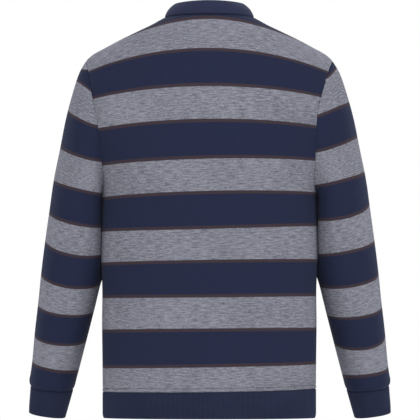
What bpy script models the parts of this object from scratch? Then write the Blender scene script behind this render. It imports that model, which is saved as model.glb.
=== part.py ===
"""Zip-neck sweater with a low rib stand collar, worn and hollow.

Units are metres, +Z is up, the front faces -Y and +X is the wearer's left. The origin is
the middle of the neck at the height where the shoulder seams meet the collar.

Every piece of cloth is a wall between an outer and an inner grid of points. The front and
the back are read from one body surface, whose level sections are rounded ellipses. The
sleeves are lofted through rings that fan round from the armhole, which they share with
the body point for point, and turn forward a little towards the cuff.
"""

import math

import bmesh
import bpy
import numpy as np
from mathutils import Matrix

# Cloth
CLOTH = 0.0020
RIB = 0.0024
TAPE = 0.0010
SEAM_GAP = 0.0003

# Body: heights are measured from the neck point of the shoulder seam
BODY_HALF_WIDTH = 0.1895
BODY_ROUND = 2.25
NECK_ROUND = 2.0
SEAM_TO_BAND = -0.6650
HEM = -0.7136
HEM_PULL_IN = 0.0020
HEM_EDGE_TURN = 0.0006
UNDERARM = -0.3150
TIP_X, TIP_Z = 0.2195, -0.0775
ARMHOLE_HALF_DEPTH = 0.072
ARMHOLE_ROUND = 2.2

# Neckline
NECK_HALF_WIDTH = 0.076
NECK_SIDE = 0.0015
NECK_BACK = -0.0010
NECK_FRONT = -0.0720
NECK_FRONT_ROUND = 2.2

# Collar: how far it rises and leans in over the neckline, at the back, sides and front
COLLAR_RISE_BACK = 0.0280
COLLAR_RISE_SIDE = 0.0225
COLLAR_RISE_FRONT = 0.0285
COLLAR_LEAN = 0.0110
COLLAR_BOW = 0.0012
COLLAR_LIFT = 0.0005
COLLAR_FOLD = 0.3

# Zip
SLIT_HALF_WIDTH = 0.0045
TAPE_INNER, TAPE_OUTER = 0.0016, 0.0130
TAPE_DEPTH = 0.0030
TAPE_TAIL = 0.012
SLIDER_AT = 0.30
SLIDER_WIDTH, SLIDER_LENGTH, SLIDER_PLATE = 0.0078, 0.0100, 0.0012
SLIDER_TOP = -0.0002
SLIDER_FLANGE = 0.0008
SLIDER_CLEAR = 0.0006
STEM_LENGTH = 0.0033
BACK_PLATE = 0.0010
BACK_ROOM = 0.0009
BRIDGE_WIDTH, BRIDGE_HEIGHT = 0.0016, 0.0034
BRIDGE_INNER, BRIDGE_OUTER = 0.0025, 0.0037
TAB_WIDTH, TAB_LENGTH, TAB_THICK = 0.0056, 0.0270, 0.0012
TAB_EYE_WIDTH, TAB_EYE_LENGTH = 0.0030, 0.0046
TAB_PIVOT_OUT = 0.0009
TAB_LEAN = math.radians(3)
STOP_AT = 1.955
STOP_WIDTH, STOP_HEIGHT, STOP_THICK = 0.0056, 0.0044, 0.0014

# Grids: rows round half an armhole and below it, columns from the centre to the side seam
ARMHOLE_ROWS = 14
LOWER_ROWS = 8
NECK_COLUMNS = 5
HALF_COLUMNS = 14
SLIT_ROW = 8
BAND_COLUMNS = 56
SLEEVE_ROWS = 18

# Depth of the cloth behind and in front of the side seams, along the centre lines
DEPTHS = (
    # height, back, front
    (0.0040, 0.058, 0.014),
    (-0.0010, 0.066, 0.019),
    (-0.0200, 0.078, 0.036),
    (-0.0400, 0.088, 0.052),
    (-0.0720, 0.100, 0.074),
    (-0.1000, 0.109, 0.091),
    (-0.1300, 0.117, 0.105),
    (-0.1800, 0.125, 0.118),
    (-0.2300, 0.128, 0.125),
    (-0.3000, 0.124, 0.127),
    (-0.3800, 0.115, 0.122),
    (-0.4600, 0.108, 0.116),
    (-0.5400, 0.105, 0.112),
    (-0.6200, 0.104, 0.110),
    (-0.7136, 0.101, 0.107),
)

# The lower edge of the hem band, where the knit folds back
HEM_EDGE_ROWS = (
    # height above the edge, share of the pull-in
    (0.0045, 0.15),
    (0.0012, 0.60),
    (0.0000, 1.00),
)

# Half width of the level sections: down the shoulder seam, past the armhole, to the side
WIDTHS = (
    # height, half width
    (0.0015, 0.0760),
    (-0.0055, 0.0890),
    (-0.0133, 0.1030),
    (-0.0270, 0.1315),
    (-0.0410, 0.1600),
    (-0.0566, 0.1887),
    (-0.0644, 0.2030),
    (-0.0775, 0.2195),
    (-0.0970, 0.2280),
    (-0.1290, 0.2320),
    (-0.1680, 0.2300),
    (-0.2100, 0.2225),
    (-0.2600, 0.2095),
    (-0.2900, 0.1990),
    (-0.3150, 0.1922),
    (-0.3450, 0.1897),
    (-0.3800, 0.1895),
    (-0.7136, 0.1895),
)

# Rings of the left sleeve: the outer and the inner point in the plane of the front view,
# the ring's middle and half depth from front to back, and how far its back hangs down
SLEEVE_RINGS = (
    # outer x, outer z, inner x, inner z, middle y, half depth, back droop
    (0.2195, -0.0775, 0.1895, -0.3150, 0.000, 0.0720, 0.00),
    (0.2325, -0.1010, 0.1905, -0.3260, -0.001, 0.0735, 0.00),
    (0.2450, -0.1400, 0.1890, -0.3400, -0.003, 0.0745, 0.00),
    (0.2563, -0.1833, 0.1875, -0.3580, -0.006, 0.0745, 0.00),
    (0.2668, -0.2367, 0.1860, -0.3780, -0.009, 0.0730, 0.00),
    (0.2776, -0.2900, 0.1850, -0.4020, -0.012, 0.0710, 0.00),
    (0.2852, -0.3435, 0.1850, -0.4280, -0.015, 0.0690, 0.02),
    (0.2928, -0.3970, 0.1880, -0.4550, -0.019, 0.0670, 0.05),
    (0.2995, -0.4500, 0.1955, -0.4820, -0.024, 0.0650, 0.09),
    (0.3050, -0.5037, 0.2045, -0.5190, -0.031, 0.0625, 0.13),
    (0.3113, -0.5571, 0.2160, -0.5640, -0.040, 0.0590, 0.15),
    (0.3163, -0.6105, 0.2290, -0.6140, -0.049, 0.0540, 0.16),
    (0.3205, -0.6430, 0.2380, -0.6480, -0.055, 0.0495, 0.16),
    (0.3200, -0.6565, 0.2423, -0.6630, -0.057, 0.0455, 0.16),
)

CUFF_RINGS = (
    # outer x, outer z, inner x, inner z, middle y, half depth, back droop
    (0.3192, -0.6569, 0.2430, -0.6634, -0.0571, 0.0445, 0.16),
    (0.3200, -0.6720, 0.2475, -0.6795, -0.0595, 0.0415, 0.16),
    (0.3212, -0.6900, 0.2530, -0.6980, -0.0625, 0.0385, 0.16),
    (0.3210, -0.7030, 0.2580, -0.7110, -0.0650, 0.0355, 0.16),
)

NAVY = (0.023, 0.028, 0.061, 1.0)
NAVY_RIB = (0.021, 0.026, 0.055, 1.0)
METAL = (0.45, 0.44, 0.43, 1.0)


def smooth(table, column, at):
    """The column's value at a height, on a smooth curve through the table's rows."""
    order = sorted(table)
    heights = np.array([row[0] for row in order])
    values = np.array([row[column] for row in order])
    slopes = np.gradient(values, heights)
    at = float(np.clip(at, heights[0], heights[-1]))
    i = int(np.clip(np.searchsorted(heights, at) - 1, 0, len(heights) - 2))
    span = heights[i + 1] - heights[i]
    u = (at - heights[i]) / span
    rise = (3 - 2 * u) * u * u
    ease_out = u * (1 - u) ** 2 * span * slopes[i]
    ease_in = u * u * (1 - u) * span * slopes[i + 1]
    return values[i] + (values[i + 1] - values[i]) * rise + ease_out - ease_in


def depth(z, front):
    return smooth(DEPTHS, 2 if front else 1, z)


def armhole_middle():
    return (TIP_Z + UNDERARM) / 2


def armhole_half_height():
    return (TIP_Z - UNDERARM) / 2


def armhole_depth(z):
    """How far the armhole seam lies behind or in front of the side seam at a height."""
    share = min(1.0, abs((z - armhole_middle()) / armhole_half_height()))
    return ARMHOLE_HALF_DEPTH * (1 - share**ARMHOLE_ROUND) ** (1 / ARMHOLE_ROUND)


def roundness(z):
    """Power of the rounded ellipse: a plain ellipse at the neck, fuller over the body."""
    share = min(1.0, max(0.0, z / (NECK_FRONT - 0.05)))
    return NECK_ROUND + (BODY_ROUND - NECK_ROUND) * share


def section_width(z):
    """Half width of the rounded ellipse that the level section follows at a height."""
    return smooth(WIDTHS, 1, z)


def side_x(z, front):
    """The outer edge of the front or the back: shoulder end, armhole, then side seam."""
    if not UNDERARM < z < TIP_Z:
        return section_width(min(z, TIP_Z))
    power = roundness(z)
    share = (armhole_depth(z) / depth(z, front)) ** power
    return section_width(z) * (1 - share) ** (1 / power)


def body_y(x, z, front):
    """The body's surface behind or in front of a point of the front view."""
    power = roundness(z)
    share = min(1.0, abs(x) / section_width(z)) ** power
    y = depth(z, front) * (1 - share) ** (1 / power) + SEAM_GAP / 2
    return -y if front else y


def neck_z(x, front):
    """Height of the neckline seam over a point of the front view."""
    share = min(1.0, abs(x) / NECK_HALF_WIDTH)
    if not front:
        return NECK_BACK + (NECK_SIDE - NECK_BACK) * share**2
    drop = NECK_SIDE - NECK_FRONT
    return NECK_FRONT + drop * (1 - math.sqrt(max(0.0, 1 - share**NECK_FRONT_ROUND)))


def top_point(column, front):
    """Where a column of the panel starts: on the neckline, then on the shoulder seam."""
    if column <= NECK_COLUMNS:
        x = NECK_HALF_WIDTH * math.sin(column / NECK_COLUMNS * math.pi / 2)
        if front:
            x = max(x, SLIT_HALF_WIDTH)
        return x, neck_z(x, front)
    share = (column - NECK_COLUMNS) / (HALF_COLUMNS - NECK_COLUMNS)
    x = NECK_HALF_WIDTH + (TIP_X - NECK_HALF_WIDTH) * share
    shoulder = [(width, z) for z, width in WIDTHS if z >= TIP_Z]
    return x, smooth(shoulder, 1, x)


def panel_rows():
    """Shares of the way down: by angle round the armhole, then ever wider to the band."""
    shares = []
    for row in range(ARMHOLE_ROWS + 1):
        z = armhole_point(math.pi * row / ARMHOLE_ROWS)[2]
        shares.append((TIP_Z - z) / (TIP_Z - SEAM_TO_BAND))
    left = 1 - shares[-1]
    steps = [((k + 1) / LOWER_ROWS) ** 1.35 for k in range(LOWER_ROWS)]
    return shares + [shares[-1] + left * step for step in steps]


def rounded(angle, power):
    """Cosine and sine of a rounded ellipse."""
    c, s = math.cos(angle), math.sin(angle)
    return (
        math.copysign(abs(c) ** (2 / power), c) if abs(c) > 1e-9 else 0.0,
        math.copysign(abs(s) ** (2 / power), s) if abs(s) > 1e-9 else 0.0,
    )


def armhole_point(angle):
    """The left armhole seam, from the shoulder at 0 over the back to the underarm at pi."""
    c, s = rounded(angle, ARMHOLE_ROUND)
    z = armhole_middle() + armhole_half_height() * c
    y = ARMHOLE_HALF_DEPTH * s
    return np.array([side_x(z, s < 0), y + math.copysign(SEAM_GAP / 2, s), z])


def armhole_inward(point):
    """Unit vector from the armhole seam to the middle of the armhole."""
    y = point[1] / ARMHOLE_HALF_DEPTH**2
    z = (point[2] - armhole_middle()) / armhole_half_height() ** 2
    return -np.array([0.0, y, z]) / math.hypot(y, z)


def panel_point(column, share, front):
    """A point of a panel, by its column and its share of the way down."""
    x_top, z_top = top_point(abs(column), front)
    z = z_top + (SEAM_TO_BAND - z_top) * share
    if abs(column) == HALF_COLUMNS:
        x = side_x(z, front)
    else:
        spread = math.sin(abs(column) / HALF_COLUMNS * math.pi / 2)
        ease = min(1.0, share / 0.45)
        ease = ease * ease * (3 - 2 * ease)
        x = side_x(z, front) * (x_top / TIP_X * (1 - ease) + spread * ease)
    if front and column == 1:
        x = max(x, 3 * SLIT_HALF_WIDTH)
    y = body_y(x, z, front)
    if share < 1e-6 and abs(column) >= NECK_COLUMNS:
        y = math.copysign(SEAM_GAP / 2, y)
    return np.array([x, y, z])


def slit_point(side, share):
    z = NECK_FRONT + (SEAM_TO_BAND - NECK_FRONT) * share
    x = side * SLIT_HALF_WIDTH
    return np.array([x, body_y(x, z, True), z])


def normals(grid, wrap):
    """Unit normals of a grid of points, from the differences between neighbours."""
    across = np.gradient(grid, axis=1)
    if wrap:
        across = (np.roll(grid, -1, axis=1) - np.roll(grid, 1, axis=1)) / 2
    down = np.gradient(grid, axis=0)
    found = np.cross(across, down)
    return found / np.linalg.norm(found, axis=2, keepdims=True)


def wall(name, outer, inner, material, wrap=False, leave_out=()):
    """A closed wall between two grids. Cells in leave_out are cut through."""
    rows, columns = outer.shape[:2]
    points = [tuple(p) for p in outer.reshape(-1, 3)]
    points += [tuple(p) for p in inner.reshape(-1, 3)]
    other = rows * columns
    cells = []
    for i in range(rows - 1):
        for j in range(columns if wrap else columns - 1):
            if (i, j) in leave_out:
                continue
            k = (j + 1) % columns
            above, below = i * columns, (i + 1) * columns
            cells.append((above + j, above + k, below + k, below + j))
    faces = []
    edges = {}
    for cell in cells:
        faces.append(cell)
        faces.append(tuple(v + other for v in reversed(cell)))
        for a, b in zip(cell, cell[1:] + cell[:1]):
            edges[(a, b)] = True
    for a, b in edges:
        if (b, a) not in edges:
            faces.append((b, a, a + other, b + other))
    mesh = bpy.data.meshes.new(name)
    mesh.from_pydata(points, [], faces)
    finish(name, mesh, material)


def finish(name, mesh, material):
    """Puts a mesh in the garment's collection, with its normals out and its material."""
    work = bmesh.new()
    work.from_mesh(mesh)
    bmesh.ops.delete(work, geom=[v for v in work.verts if not v.link_faces], context="VERTS")
    bmesh.ops.triangulate(work, faces=work.faces)
    bmesh.ops.recalc_face_normals(work, faces=work.faces)
    work.to_mesh(mesh)
    work.free()
    mesh.materials.append(material)
    mesh.shade_smooth()
    mesh.set_sharp_from_angle(angle=math.radians(40))
    garment.objects.link(bpy.data.objects.new(name, mesh))


def paint(name, color, roughness, metallic=0.0):
    material = bpy.data.materials.new(name)
    material.use_nodes = True
    shader = material.node_tree.nodes["Principled BSDF"]
    shader.inputs["Base Color"].default_value = color
    shader.inputs["Roughness"].default_value = roughness
    shader.inputs["Metallic"].default_value = metallic
    return material


# --- Front and back panels ---------------------------------------------------------------


def panel_columns(front):
    """Column numbers from the wearer's right to the left. The front has no middle one."""
    half = range(1, HALF_COLUMNS + 1)
    middle = [] if front else [0]
    return [-c for c in reversed(half)] + middle + list(half)


def panel_grid(front):
    """Outer points of a panel, row by row. The front has two columns along its slit."""
    rows = []
    for share in panel_rows():
        left = [panel_point(c, share, front) for c in panel_columns(front) if c > 0]
        right = [p * (-1, 1, 1) for p in reversed(left)]
        if front:
            middle = [slit_point(-1, share), slit_point(1, share)]
        else:
            middle = [panel_point(0, share, front)]
        rows.append(right + middle + left)
    return np.array(rows)


def panel_inner(outer):
    """The inner grid: along the normals, and at each seam straight into the opening."""
    out = normals(outer, wrap=False)
    out *= np.sign((out * outer * (0, 1, 0)).sum())
    on_neck = np.abs(outer[0, :, 0]) <= NECK_HALF_WIDTH + 1e-6
    out[0, ~on_neck, 1] = 0.0
    out[:, (0, -1), 1:] = 0.0
    out /= np.maximum(np.linalg.norm(out, axis=2, keepdims=True), 1e-9)
    out[0, on_neck] = [neck_outward(point) for point in outer[0, on_neck]]
    for j in (0, -1):
        for i in range(ARMHOLE_ROWS + 1):
            out[i, j] = -armhole_inward(outer[i, j])
    return outer - CLOTH * out


def neck_outward(point):
    """Level unit vector from the middle of the neck out through a point of its seam."""
    level = np.array([point[0], point[1], 0.0])
    return level / np.linalg.norm(level)


def make_panels(cloth):
    for name, front in (("back", False), ("front", True)):
        outer = panel_grid(front)
        middle = outer.shape[1] // 2 - 1
        slit = {(i, middle) for i in range(SLIT_ROW)} if front else ()
        wall(name, outer, panel_inner(outer), cloth, leave_out=slit)


# --- Hem band, sleeves and cuffs ---------------------------------------------------------


def make_hem_band(rib):
    """The rib band goes on round the body from the lower seam of both panels."""
    top = SEAM_TO_BAND - SEAM_GAP
    rows = [(top, 0.0), ((top + HEM) / 2, 0.0)]
    rows += [(HEM + above, share) for above, share in HEM_EDGE_ROWS]
    grid = []
    for z, share in rows:
        ring = []
        for k in range(BAND_COLUMNS):
            c, s = rounded(2 * math.pi * k / BAND_COLUMNS, BODY_ROUND)
            reach = HEM_PULL_IN * share
            across = BODY_HALF_WIDTH - reach
            along = depth(z, s < 0) - reach
            ring.append((across * c, along * s, z))
        grid.append(ring)
    outer = np.array(grid)
    level = outer * (1, 1, 0)
    out = normals(outer, wrap=True)
    out *= np.sign((out * level).sum())
    out[:, :, 2] = 0.0
    out /= np.linalg.norm(out, axis=2, keepdims=True)
    inner = outer - RIB * out
    inner[-1] += (0, 0, HEM_EDGE_TURN)
    wall("hem_band", outer, inner, rib, wrap=True)


def body_clearance(point, gap):
    """Keeps a point of the left sleeve outside the body, in its armhole and below it."""
    x, y, z = point
    if z > TIP_Z:
        return point
    reach = armhole_depth(z) if z > UNDERARM else 0.0
    power = roundness(z)
    share = min(1.0, max(abs(y), reach) / depth(z, y < 0)) ** power
    side = section_width(z) * (1 - share) ** (1 / power)
    return np.array([max(x, side + gap), y, z])


def ring_value(rings, at):
    """A row of the ring table at any place along it, on a smooth curve through the rows."""
    numbered = [(k,) + row for k, row in enumerate(rings)]
    return [smooth(numbered, column + 1, at) for column in range(len(rings[0]))]


def sleeve_point(at, angle):
    """The left sleeve's outer surface: ring number along the arm and angle round it."""
    ox, oz, ix, iz, middle_y, half_depth, droop = ring_value(SLEEVE_RINGS, at)
    c, s = rounded(angle, ARMHOLE_ROUND)
    x = (ox + ix) / 2 + (ox - ix) / 2 * c
    z = (oz + iz) / 2 + (oz - iz) / 2 * c
    y = middle_y + half_depth * s
    z -= droop * half_depth * s
    top, bottom = armhole_point(0.0)[0], armhole_point(math.pi)[0]
    straight = (top + bottom) / 2 + (top - bottom) / 2 * c
    x += (armhole_point(angle)[0] - straight) * max(0.0, 1 - at / 2.5)
    gap = SEAM_GAP + 0.0011 * min(1.0, at)
    return body_clearance((x, y, z), gap)


def make_tube(name, grid, first_inward, thickness, material, side):
    """A closed tube wall. Its first ring is cut straight into the opening it meets."""
    out = normals(grid, wrap=True)
    centre = grid.mean(axis=1, keepdims=True)
    out *= np.sign((out * (grid - centre)).sum())
    inner = grid - thickness * out
    if first_inward is not None:
        inner[0] = grid[0] + thickness * first_inward
    mirror = np.array([side, 1, 1])
    wall(name, grid * mirror, inner * mirror, material, wrap=True)


def make_sleeves(cloth, rib):
    turns = [math.pi * k / ARMHOLE_ROWS for k in range(2 * ARMHOLE_ROWS)]
    last = len(SLEEVE_RINGS) - 1
    rows = [[armhole_point(t) + (SEAM_GAP, 0, 0) for t in turns]]
    for k in range(1, SLEEVE_ROWS + 1):
        rows.append([sleeve_point(last * k / SLEEVE_ROWS, t) for t in turns])
    sleeve = np.array(rows)
    inward = np.array([armhole_inward(p) for p in sleeve[0]])
    cuff = np.array([[ring_point(ring, t) for t in turns] for ring in CUFF_RINGS])
    for name, side in (("left", 1), ("right", -1)):
        make_tube("sleeve_" + name, sleeve, inward, CLOTH, cloth, side)
        make_tube("cuff_" + name, cuff, None, RIB, rib, side)


def ring_point(ring, angle):
    ox, oz, ix, iz, middle_y, half_depth, droop = ring
    c, s = rounded(angle, ARMHOLE_ROUND)
    x = (ox + ix) / 2 + (ox - ix) / 2 * c
    z = (oz + iz) / 2 + (oz - iz) / 2 * c - droop * half_depth * s
    return (x, middle_y + half_depth * s, z)


# --- Collar ------------------------------------------------------------------------------


def collar_seam():
    """Neckline points from the left side of the slit, round the back, to its right side."""
    front = [slit_point(1, 0.0)]
    front += [panel_point(c, 0.0, True) for c in range(1, NECK_COLUMNS)]
    back = [panel_point(c, 0.0, False) for c in range(NECK_COLUMNS, 0, -1)]
    left = front + back
    middle = [panel_point(0, 0.0, False)]
    seam = np.array(left + middle + [p * (-1, 1, 1) for p in reversed(left)])
    outward = np.array([neck_outward(p) for p in seam])
    lift = np.cross(outward, np.gradient(seam, axis=0))
    lift /= np.linalg.norm(lift, axis=1, keepdims=True)
    return seam + COLLAR_LIFT * lift * np.sign(lift[:, 2:])


def collar_rise(seam_point):
    """Rise of the collar's top edge, from the middle front over the sides to the back."""
    around = math.atan2(abs(seam_point[0]), seam_point[1])
    if around < math.pi / 2:
        return COLLAR_RISE_SIDE + (COLLAR_RISE_BACK - COLLAR_RISE_SIDE) * math.cos(around) ** 2
    return COLLAR_RISE_SIDE + (COLLAR_RISE_FRONT - COLLAR_RISE_SIDE) * math.cos(around) ** 2


def collar_point(seam_point, share):
    """The collar's outer surface, from its seam at 0 to its top edge at 1."""
    out = neck_outward(seam_point)
    if seam_point[1] < 0 and abs(seam_point[0]) <= SLIT_HALF_WIDTH + 1e-6:
        out = np.array([0.0, -1.0, 0.0])
    bow = COLLAR_BOW * math.sin(share * math.pi)
    lean = COLLAR_LEAN * (0.75 * share + 0.25 * share**2) - bow
    return seam_point - out * lean + np.array([0, 0, collar_rise(seam_point) * share])


def make_collar(rib):
    seam = collar_seam()
    shares = [0.0, 0.25, 0.5, 0.75, 0.93, 1.0]
    outer = np.array([[collar_point(p, share) for p in seam] for share in shares])
    out = normals(outer, wrap=False)
    out *= np.sign((out * outer * (1, 1, 0)).sum())
    out[0] = [neck_outward(p) for p in seam]
    inner = outer - RIB * out
    fold = RIB * COLLAR_FOLD
    outer[-1] -= fold * out[-1]
    inner[-1] += fold * out[-1]
    wall("collar", outer, inner, rib)


# --- Zip ---------------------------------------------------------------------------------


def zip_line(x, at):
    """The outer cloth along the zip: collar's top edge at 0, its seam at 1, slit's end at 2."""
    seam = np.array([x, body_y(x, neck_z(x, True), True), neck_z(x, True)])
    if at < 1:
        return collar_point(seam + (0, 0, COLLAR_LIFT), 1 - at)
    end = NECK_FRONT + (SEAM_TO_BAND - NECK_FRONT) * panel_rows()[SLIT_ROW]
    z = seam[2] + (end - seam[2]) * (at - 1)
    return np.array([x, body_y(x, z, True), z])


def zip_inward(x, at):
    """Unit vector from the outer cloth straight in, at a place along the zip."""
    step = 0.04
    along = zip_line(x, at + step) - zip_line(x, at - step)
    across = zip_line(x + 0.001, at) - zip_line(x - 0.001, at)
    inward = np.cross(along, across)
    inward /= np.linalg.norm(inward)
    return inward if inward[1] > 0 else -inward


def make_tapes(webbing):
    end = 2 + TAPE_TAIL / (NECK_FRONT - slit_point(1, panel_rows()[SLIT_ROW])[2])
    places = [0.02, 0.25, 0.5, 0.75, 1.0, 1.12, 1.25, 1.4, 1.55, 1.7, 1.85, 2.0, end]
    widths = [TAPE_INNER, SLIT_HALF_WIDTH, (SLIT_HALF_WIDTH + TAPE_OUTER) / 2, TAPE_OUTER]
    front, behind = [], []
    for at in places:
        inward = [zip_inward(SLIT_HALF_WIDTH, at) for x in widths]
        row = [zip_line(x, at) for x in widths]
        front.append([p + TAPE_DEPTH * n for p, n in zip(row, inward)])
        behind.append([p + (TAPE_DEPTH + TAPE) * n for p, n in zip(row, inward)])
    for name, side in (("left", 1), ("right", -1)):
        mirror = np.array([side, 1, 1])
        wall("zip_tape_" + name, np.array(front) * mirror, np.array(behind) * mirror, webbing)


def zip_frame(at):
    """Local axes on the zip's middle line: +X across, +Y out of the cloth, +Z up along it."""
    place = zip_line(0.0, at)
    outward = -zip_inward(0.0, at)
    outward[0] = 0.0
    outward /= np.linalg.norm(outward)
    up = np.cross(np.array([-1.0, 0.0, 0.0]), outward)
    if up[2] < 0:
        up = -up
    across = np.cross(outward, up)
    frame = Matrix.Identity(4)
    for k, axis in enumerate((across, outward, up)):
        for row in range(3):
            frame[row][k] = axis[row]
    frame.translation = place
    return frame


def block(name, low, high, cutter=False):
    """A box between two corners of its own frame."""
    bpy.ops.mesh.primitive_cube_add(size=1)
    made = bpy.context.object
    made.name = name
    centre = [(a + b) / 2 for a, b in zip(low, high)]
    size = [b - a for a, b in zip(low, high)]
    made.data.transform(Matrix.Translation(centre) @ Matrix.Diagonal((*size, 1)))
    for collection in list(made.users_collection):
        collection.objects.unlink(made)
    if cutter:
        cutters.objects.link(made)
        made.hide_render = True
        made.display_type = "WIRE"
    else:
        garment.objects.link(made)
    return made


def join(target, others, operation="UNION"):
    for other in others:
        step = target.modifiers.new(other.name, "BOOLEAN")
        step.operation = operation
        step.solver = "EXACT"
        step.object = other


def make_slider(metal, frame):
    """Top and bottom plates with flanges, joined by a stem, and the bridge on top."""
    half, post = SLIDER_WIDTH / 2, BRIDGE_WIDTH / 2
    low, high = -SLIDER_LENGTH / 2, SLIDER_LENGTH / 2
    top, inside = SLIDER_TOP, SLIDER_TOP - SLIDER_PLATE / 3
    bridge = top + BRIDGE_HEIGHT
    tape_front, tape_back = -TAPE_DEPTH, -(TAPE_DEPTH + TAPE)
    bottom = tape_back - BACK_ROOM - BACK_PLATE
    slider = block("zip_slider", (-half, top - SLIDER_PLATE, low), (half, top, high))
    stem = TAPE_INNER - SLIDER_CLEAR
    pieces = [
        ((-stem, bottom, high - STEM_LENGTH), (stem, inside, high - SLIDER_CLEAR)),
        ((-half, bottom, low), (half, bottom + BACK_PLATE, high)),
        ((-post, inside, BRIDGE_INNER), (post, bridge, BRIDGE_OUTER)),
        ((-post, inside, -BRIDGE_OUTER), (post, bridge, -BRIDGE_INNER)),
        ((-post, bridge - SLIDER_PLATE, -BRIDGE_OUTER), (post, bridge, BRIDGE_OUTER)),
    ]
    for side in (-1, 1):
        inner, outer = sorted((side * (half - SLIDER_FLANGE), side * half))
        pieces.append(((inner, tape_front + SLIDER_CLEAR, low), (outer, inside, high)))
        pieces.append(((inner, bottom + BACK_PLATE / 2, low), (outer, tape_back - SLIDER_CLEAR, high)))
    made = [block(f"slider_block_{k}", a, b, cutter=True) for k, (a, b) in enumerate(pieces)]
    join(slider, made)
    for thing in [slider] + made:
        thing.matrix_world = frame
    slider.data.materials.append(metal)


def make_tab(metal, frame):
    """The pull tab hangs by the bar of its eye, which runs through the slider's bridge."""
    half = TAB_THICK / 2
    across, hole = TAB_WIDTH / 2, TAB_EYE_WIDTH / 2
    tab = block("zip_tab", (-across, -half, -TAB_LENGTH + half), (across, half, half))
    low, high = (-hole, -2 * half, -TAB_EYE_LENGTH - half), (hole, 2 * half, -half)
    eye = block("tab_eye", low, high, cutter=True)
    join(tab, [eye], "DIFFERENCE")
    lean = Matrix.Rotation(TAB_LEAN, 4, "X")
    pivot = frame @ Matrix.Translation((0, TAB_PIVOT_OUT, 0)) @ lean
    for thing in (tab, eye):
        thing.matrix_world = pivot
    tab.data.materials.append(metal)


def make_bottom_stop(metal):
    """A clip over both tapes where the slit ends."""
    frame = zip_frame(STOP_AT)
    across, up = STOP_WIDTH / 2, STOP_HEIGHT / 2
    behind = SEAM_GAP - TAPE_DEPTH
    stop = block("zip_stop", (-across, behind, -up), (across, behind + STOP_THICK, up))
    stop.matrix_world = frame
    stop.data.materials.append(metal)


for old in list(bpy.data.objects):
    bpy.data.objects.remove(old, do_unlink=True)
garment = bpy.data.collections.new("zip_neck_sweater")
cutters = bpy.data.collections.new("cutters")
for collection in (garment, cutters):
    bpy.context.scene.collection.children.link(collection)
cutters.hide_render = True

jersey = paint("striped_jersey", NAVY, 0.9)
rib_knit = paint("navy_rib", NAVY_RIB, 0.92)
zip_cloth = paint("zip_webbing", NAVY_RIB, 0.85)
zip_metal = paint("zip_metal", METAL, 0.35, 1.0)

make_panels(jersey)
make_hem_band(rib_knit)
make_sleeves(jersey, rib_knit)
make_collar(rib_knit)
make_tapes(zip_cloth)
slider_frame = zip_frame(SLIDER_AT)
make_slider(zip_metal, slider_frame)
make_tab(zip_metal, slider_frame)
make_bottom_stop(zip_metal)
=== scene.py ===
"""Zip-neck sweater, worn and hollow, seen from behind: the finish of every piece.

Metres, +Z up, the front faces -Y and +X is the wearer's left. The origin is the middle of
the neck, where the shoulder seams meet the collar. Sections follow the order of sewing.
"""

import math

import bmesh
import bpy
import numpy as np
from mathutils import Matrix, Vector


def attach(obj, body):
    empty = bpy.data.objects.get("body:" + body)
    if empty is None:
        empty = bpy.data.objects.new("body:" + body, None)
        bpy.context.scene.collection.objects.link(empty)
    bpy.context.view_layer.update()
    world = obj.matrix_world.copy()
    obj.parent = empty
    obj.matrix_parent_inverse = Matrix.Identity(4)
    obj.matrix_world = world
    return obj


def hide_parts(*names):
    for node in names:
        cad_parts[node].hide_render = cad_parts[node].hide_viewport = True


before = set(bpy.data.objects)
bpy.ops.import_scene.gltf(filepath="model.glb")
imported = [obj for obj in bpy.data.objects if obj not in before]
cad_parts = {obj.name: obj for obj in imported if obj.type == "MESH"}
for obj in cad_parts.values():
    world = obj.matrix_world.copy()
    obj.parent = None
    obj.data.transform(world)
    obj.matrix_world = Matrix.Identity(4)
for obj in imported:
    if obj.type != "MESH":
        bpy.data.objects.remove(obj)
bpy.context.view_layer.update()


# --- Studio ------------------------------------------------------------------------------
# A pale floor well below the hem, a white surround and large soft lights on all sides, so
# that the knit is lit evenly. The camera stands 6 m behind the wearer at hip height.

CAMERA_DISTANCE = 6.0
CAMERA_HEIGHT = -0.557
CAMERA_AIM = Vector((-0.0012, 0.0, -0.3435))
VIEW_WIDTH = 0.7476
SENSOR = 36.0
FLOOR_HEIGHT = -1.0
FLOOR_RADIUS = 9.0
FLOOR_FADES_FROM = 2.5
FLOOR_SIDES = 96
WHITE = (1.0, 1.0, 1.0, 1.0)
SURROUND_GLOW = 0.52
LIGHTS = (
    # name, place, size, power
    ("back_middle", (0.0, 6.3, 1.2), 2.0, 46),
    ("back_left", (5.1, 4.0, 1.3), 2.4, 50),
    ("back_right", (-5.1, 4.0, 1.3), 2.4, 104),
    ("front_middle", (0.0, -6.3, 1.2), 2.0, 46),
    ("front_left", (5.1, -4.0, 1.3), 2.4, 70),
    ("front_right", (-5.1, -4.0, 1.3), 2.4, 70),
    ("overhead_back", (0.0, 1.9, 2.5), 1.6, 27),
    ("overhead_front", (0.0, -1.9, 2.5), 1.6, 25),
)


def add_object(name, data):
    made = bpy.data.objects.new(name, data)
    bpy.context.collection.objects.link(made)
    return made


def aim(thing, place):
    """Puts a camera or light at a place, looking at the middle of the sweater."""
    thing.location = place
    toward = CAMERA_AIM - Vector(place)
    thing.rotation_euler = toward.to_track_quat("-Z", "Y").to_euler()


def join(tree, *wires):
    """Links one node's output to another node's input, for each wire."""
    for source, output, target, socket in wires:
        tree.links.new(source.outputs[output], target.inputs[socket])


def make_camera():
    data = bpy.data.cameras.new("camera")
    data.sensor_width = SENSOR
    data.lens = SENSOR * CAMERA_DISTANCE / VIEW_WIDTH
    camera = add_object("camera", data)
    aim(camera, (CAMERA_AIM.x, CAMERA_DISTANCE, CAMERA_HEIGHT))
    bpy.context.scene.camera = camera
    bpy.context.scene.view_settings.view_transform = "Standard"


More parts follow.
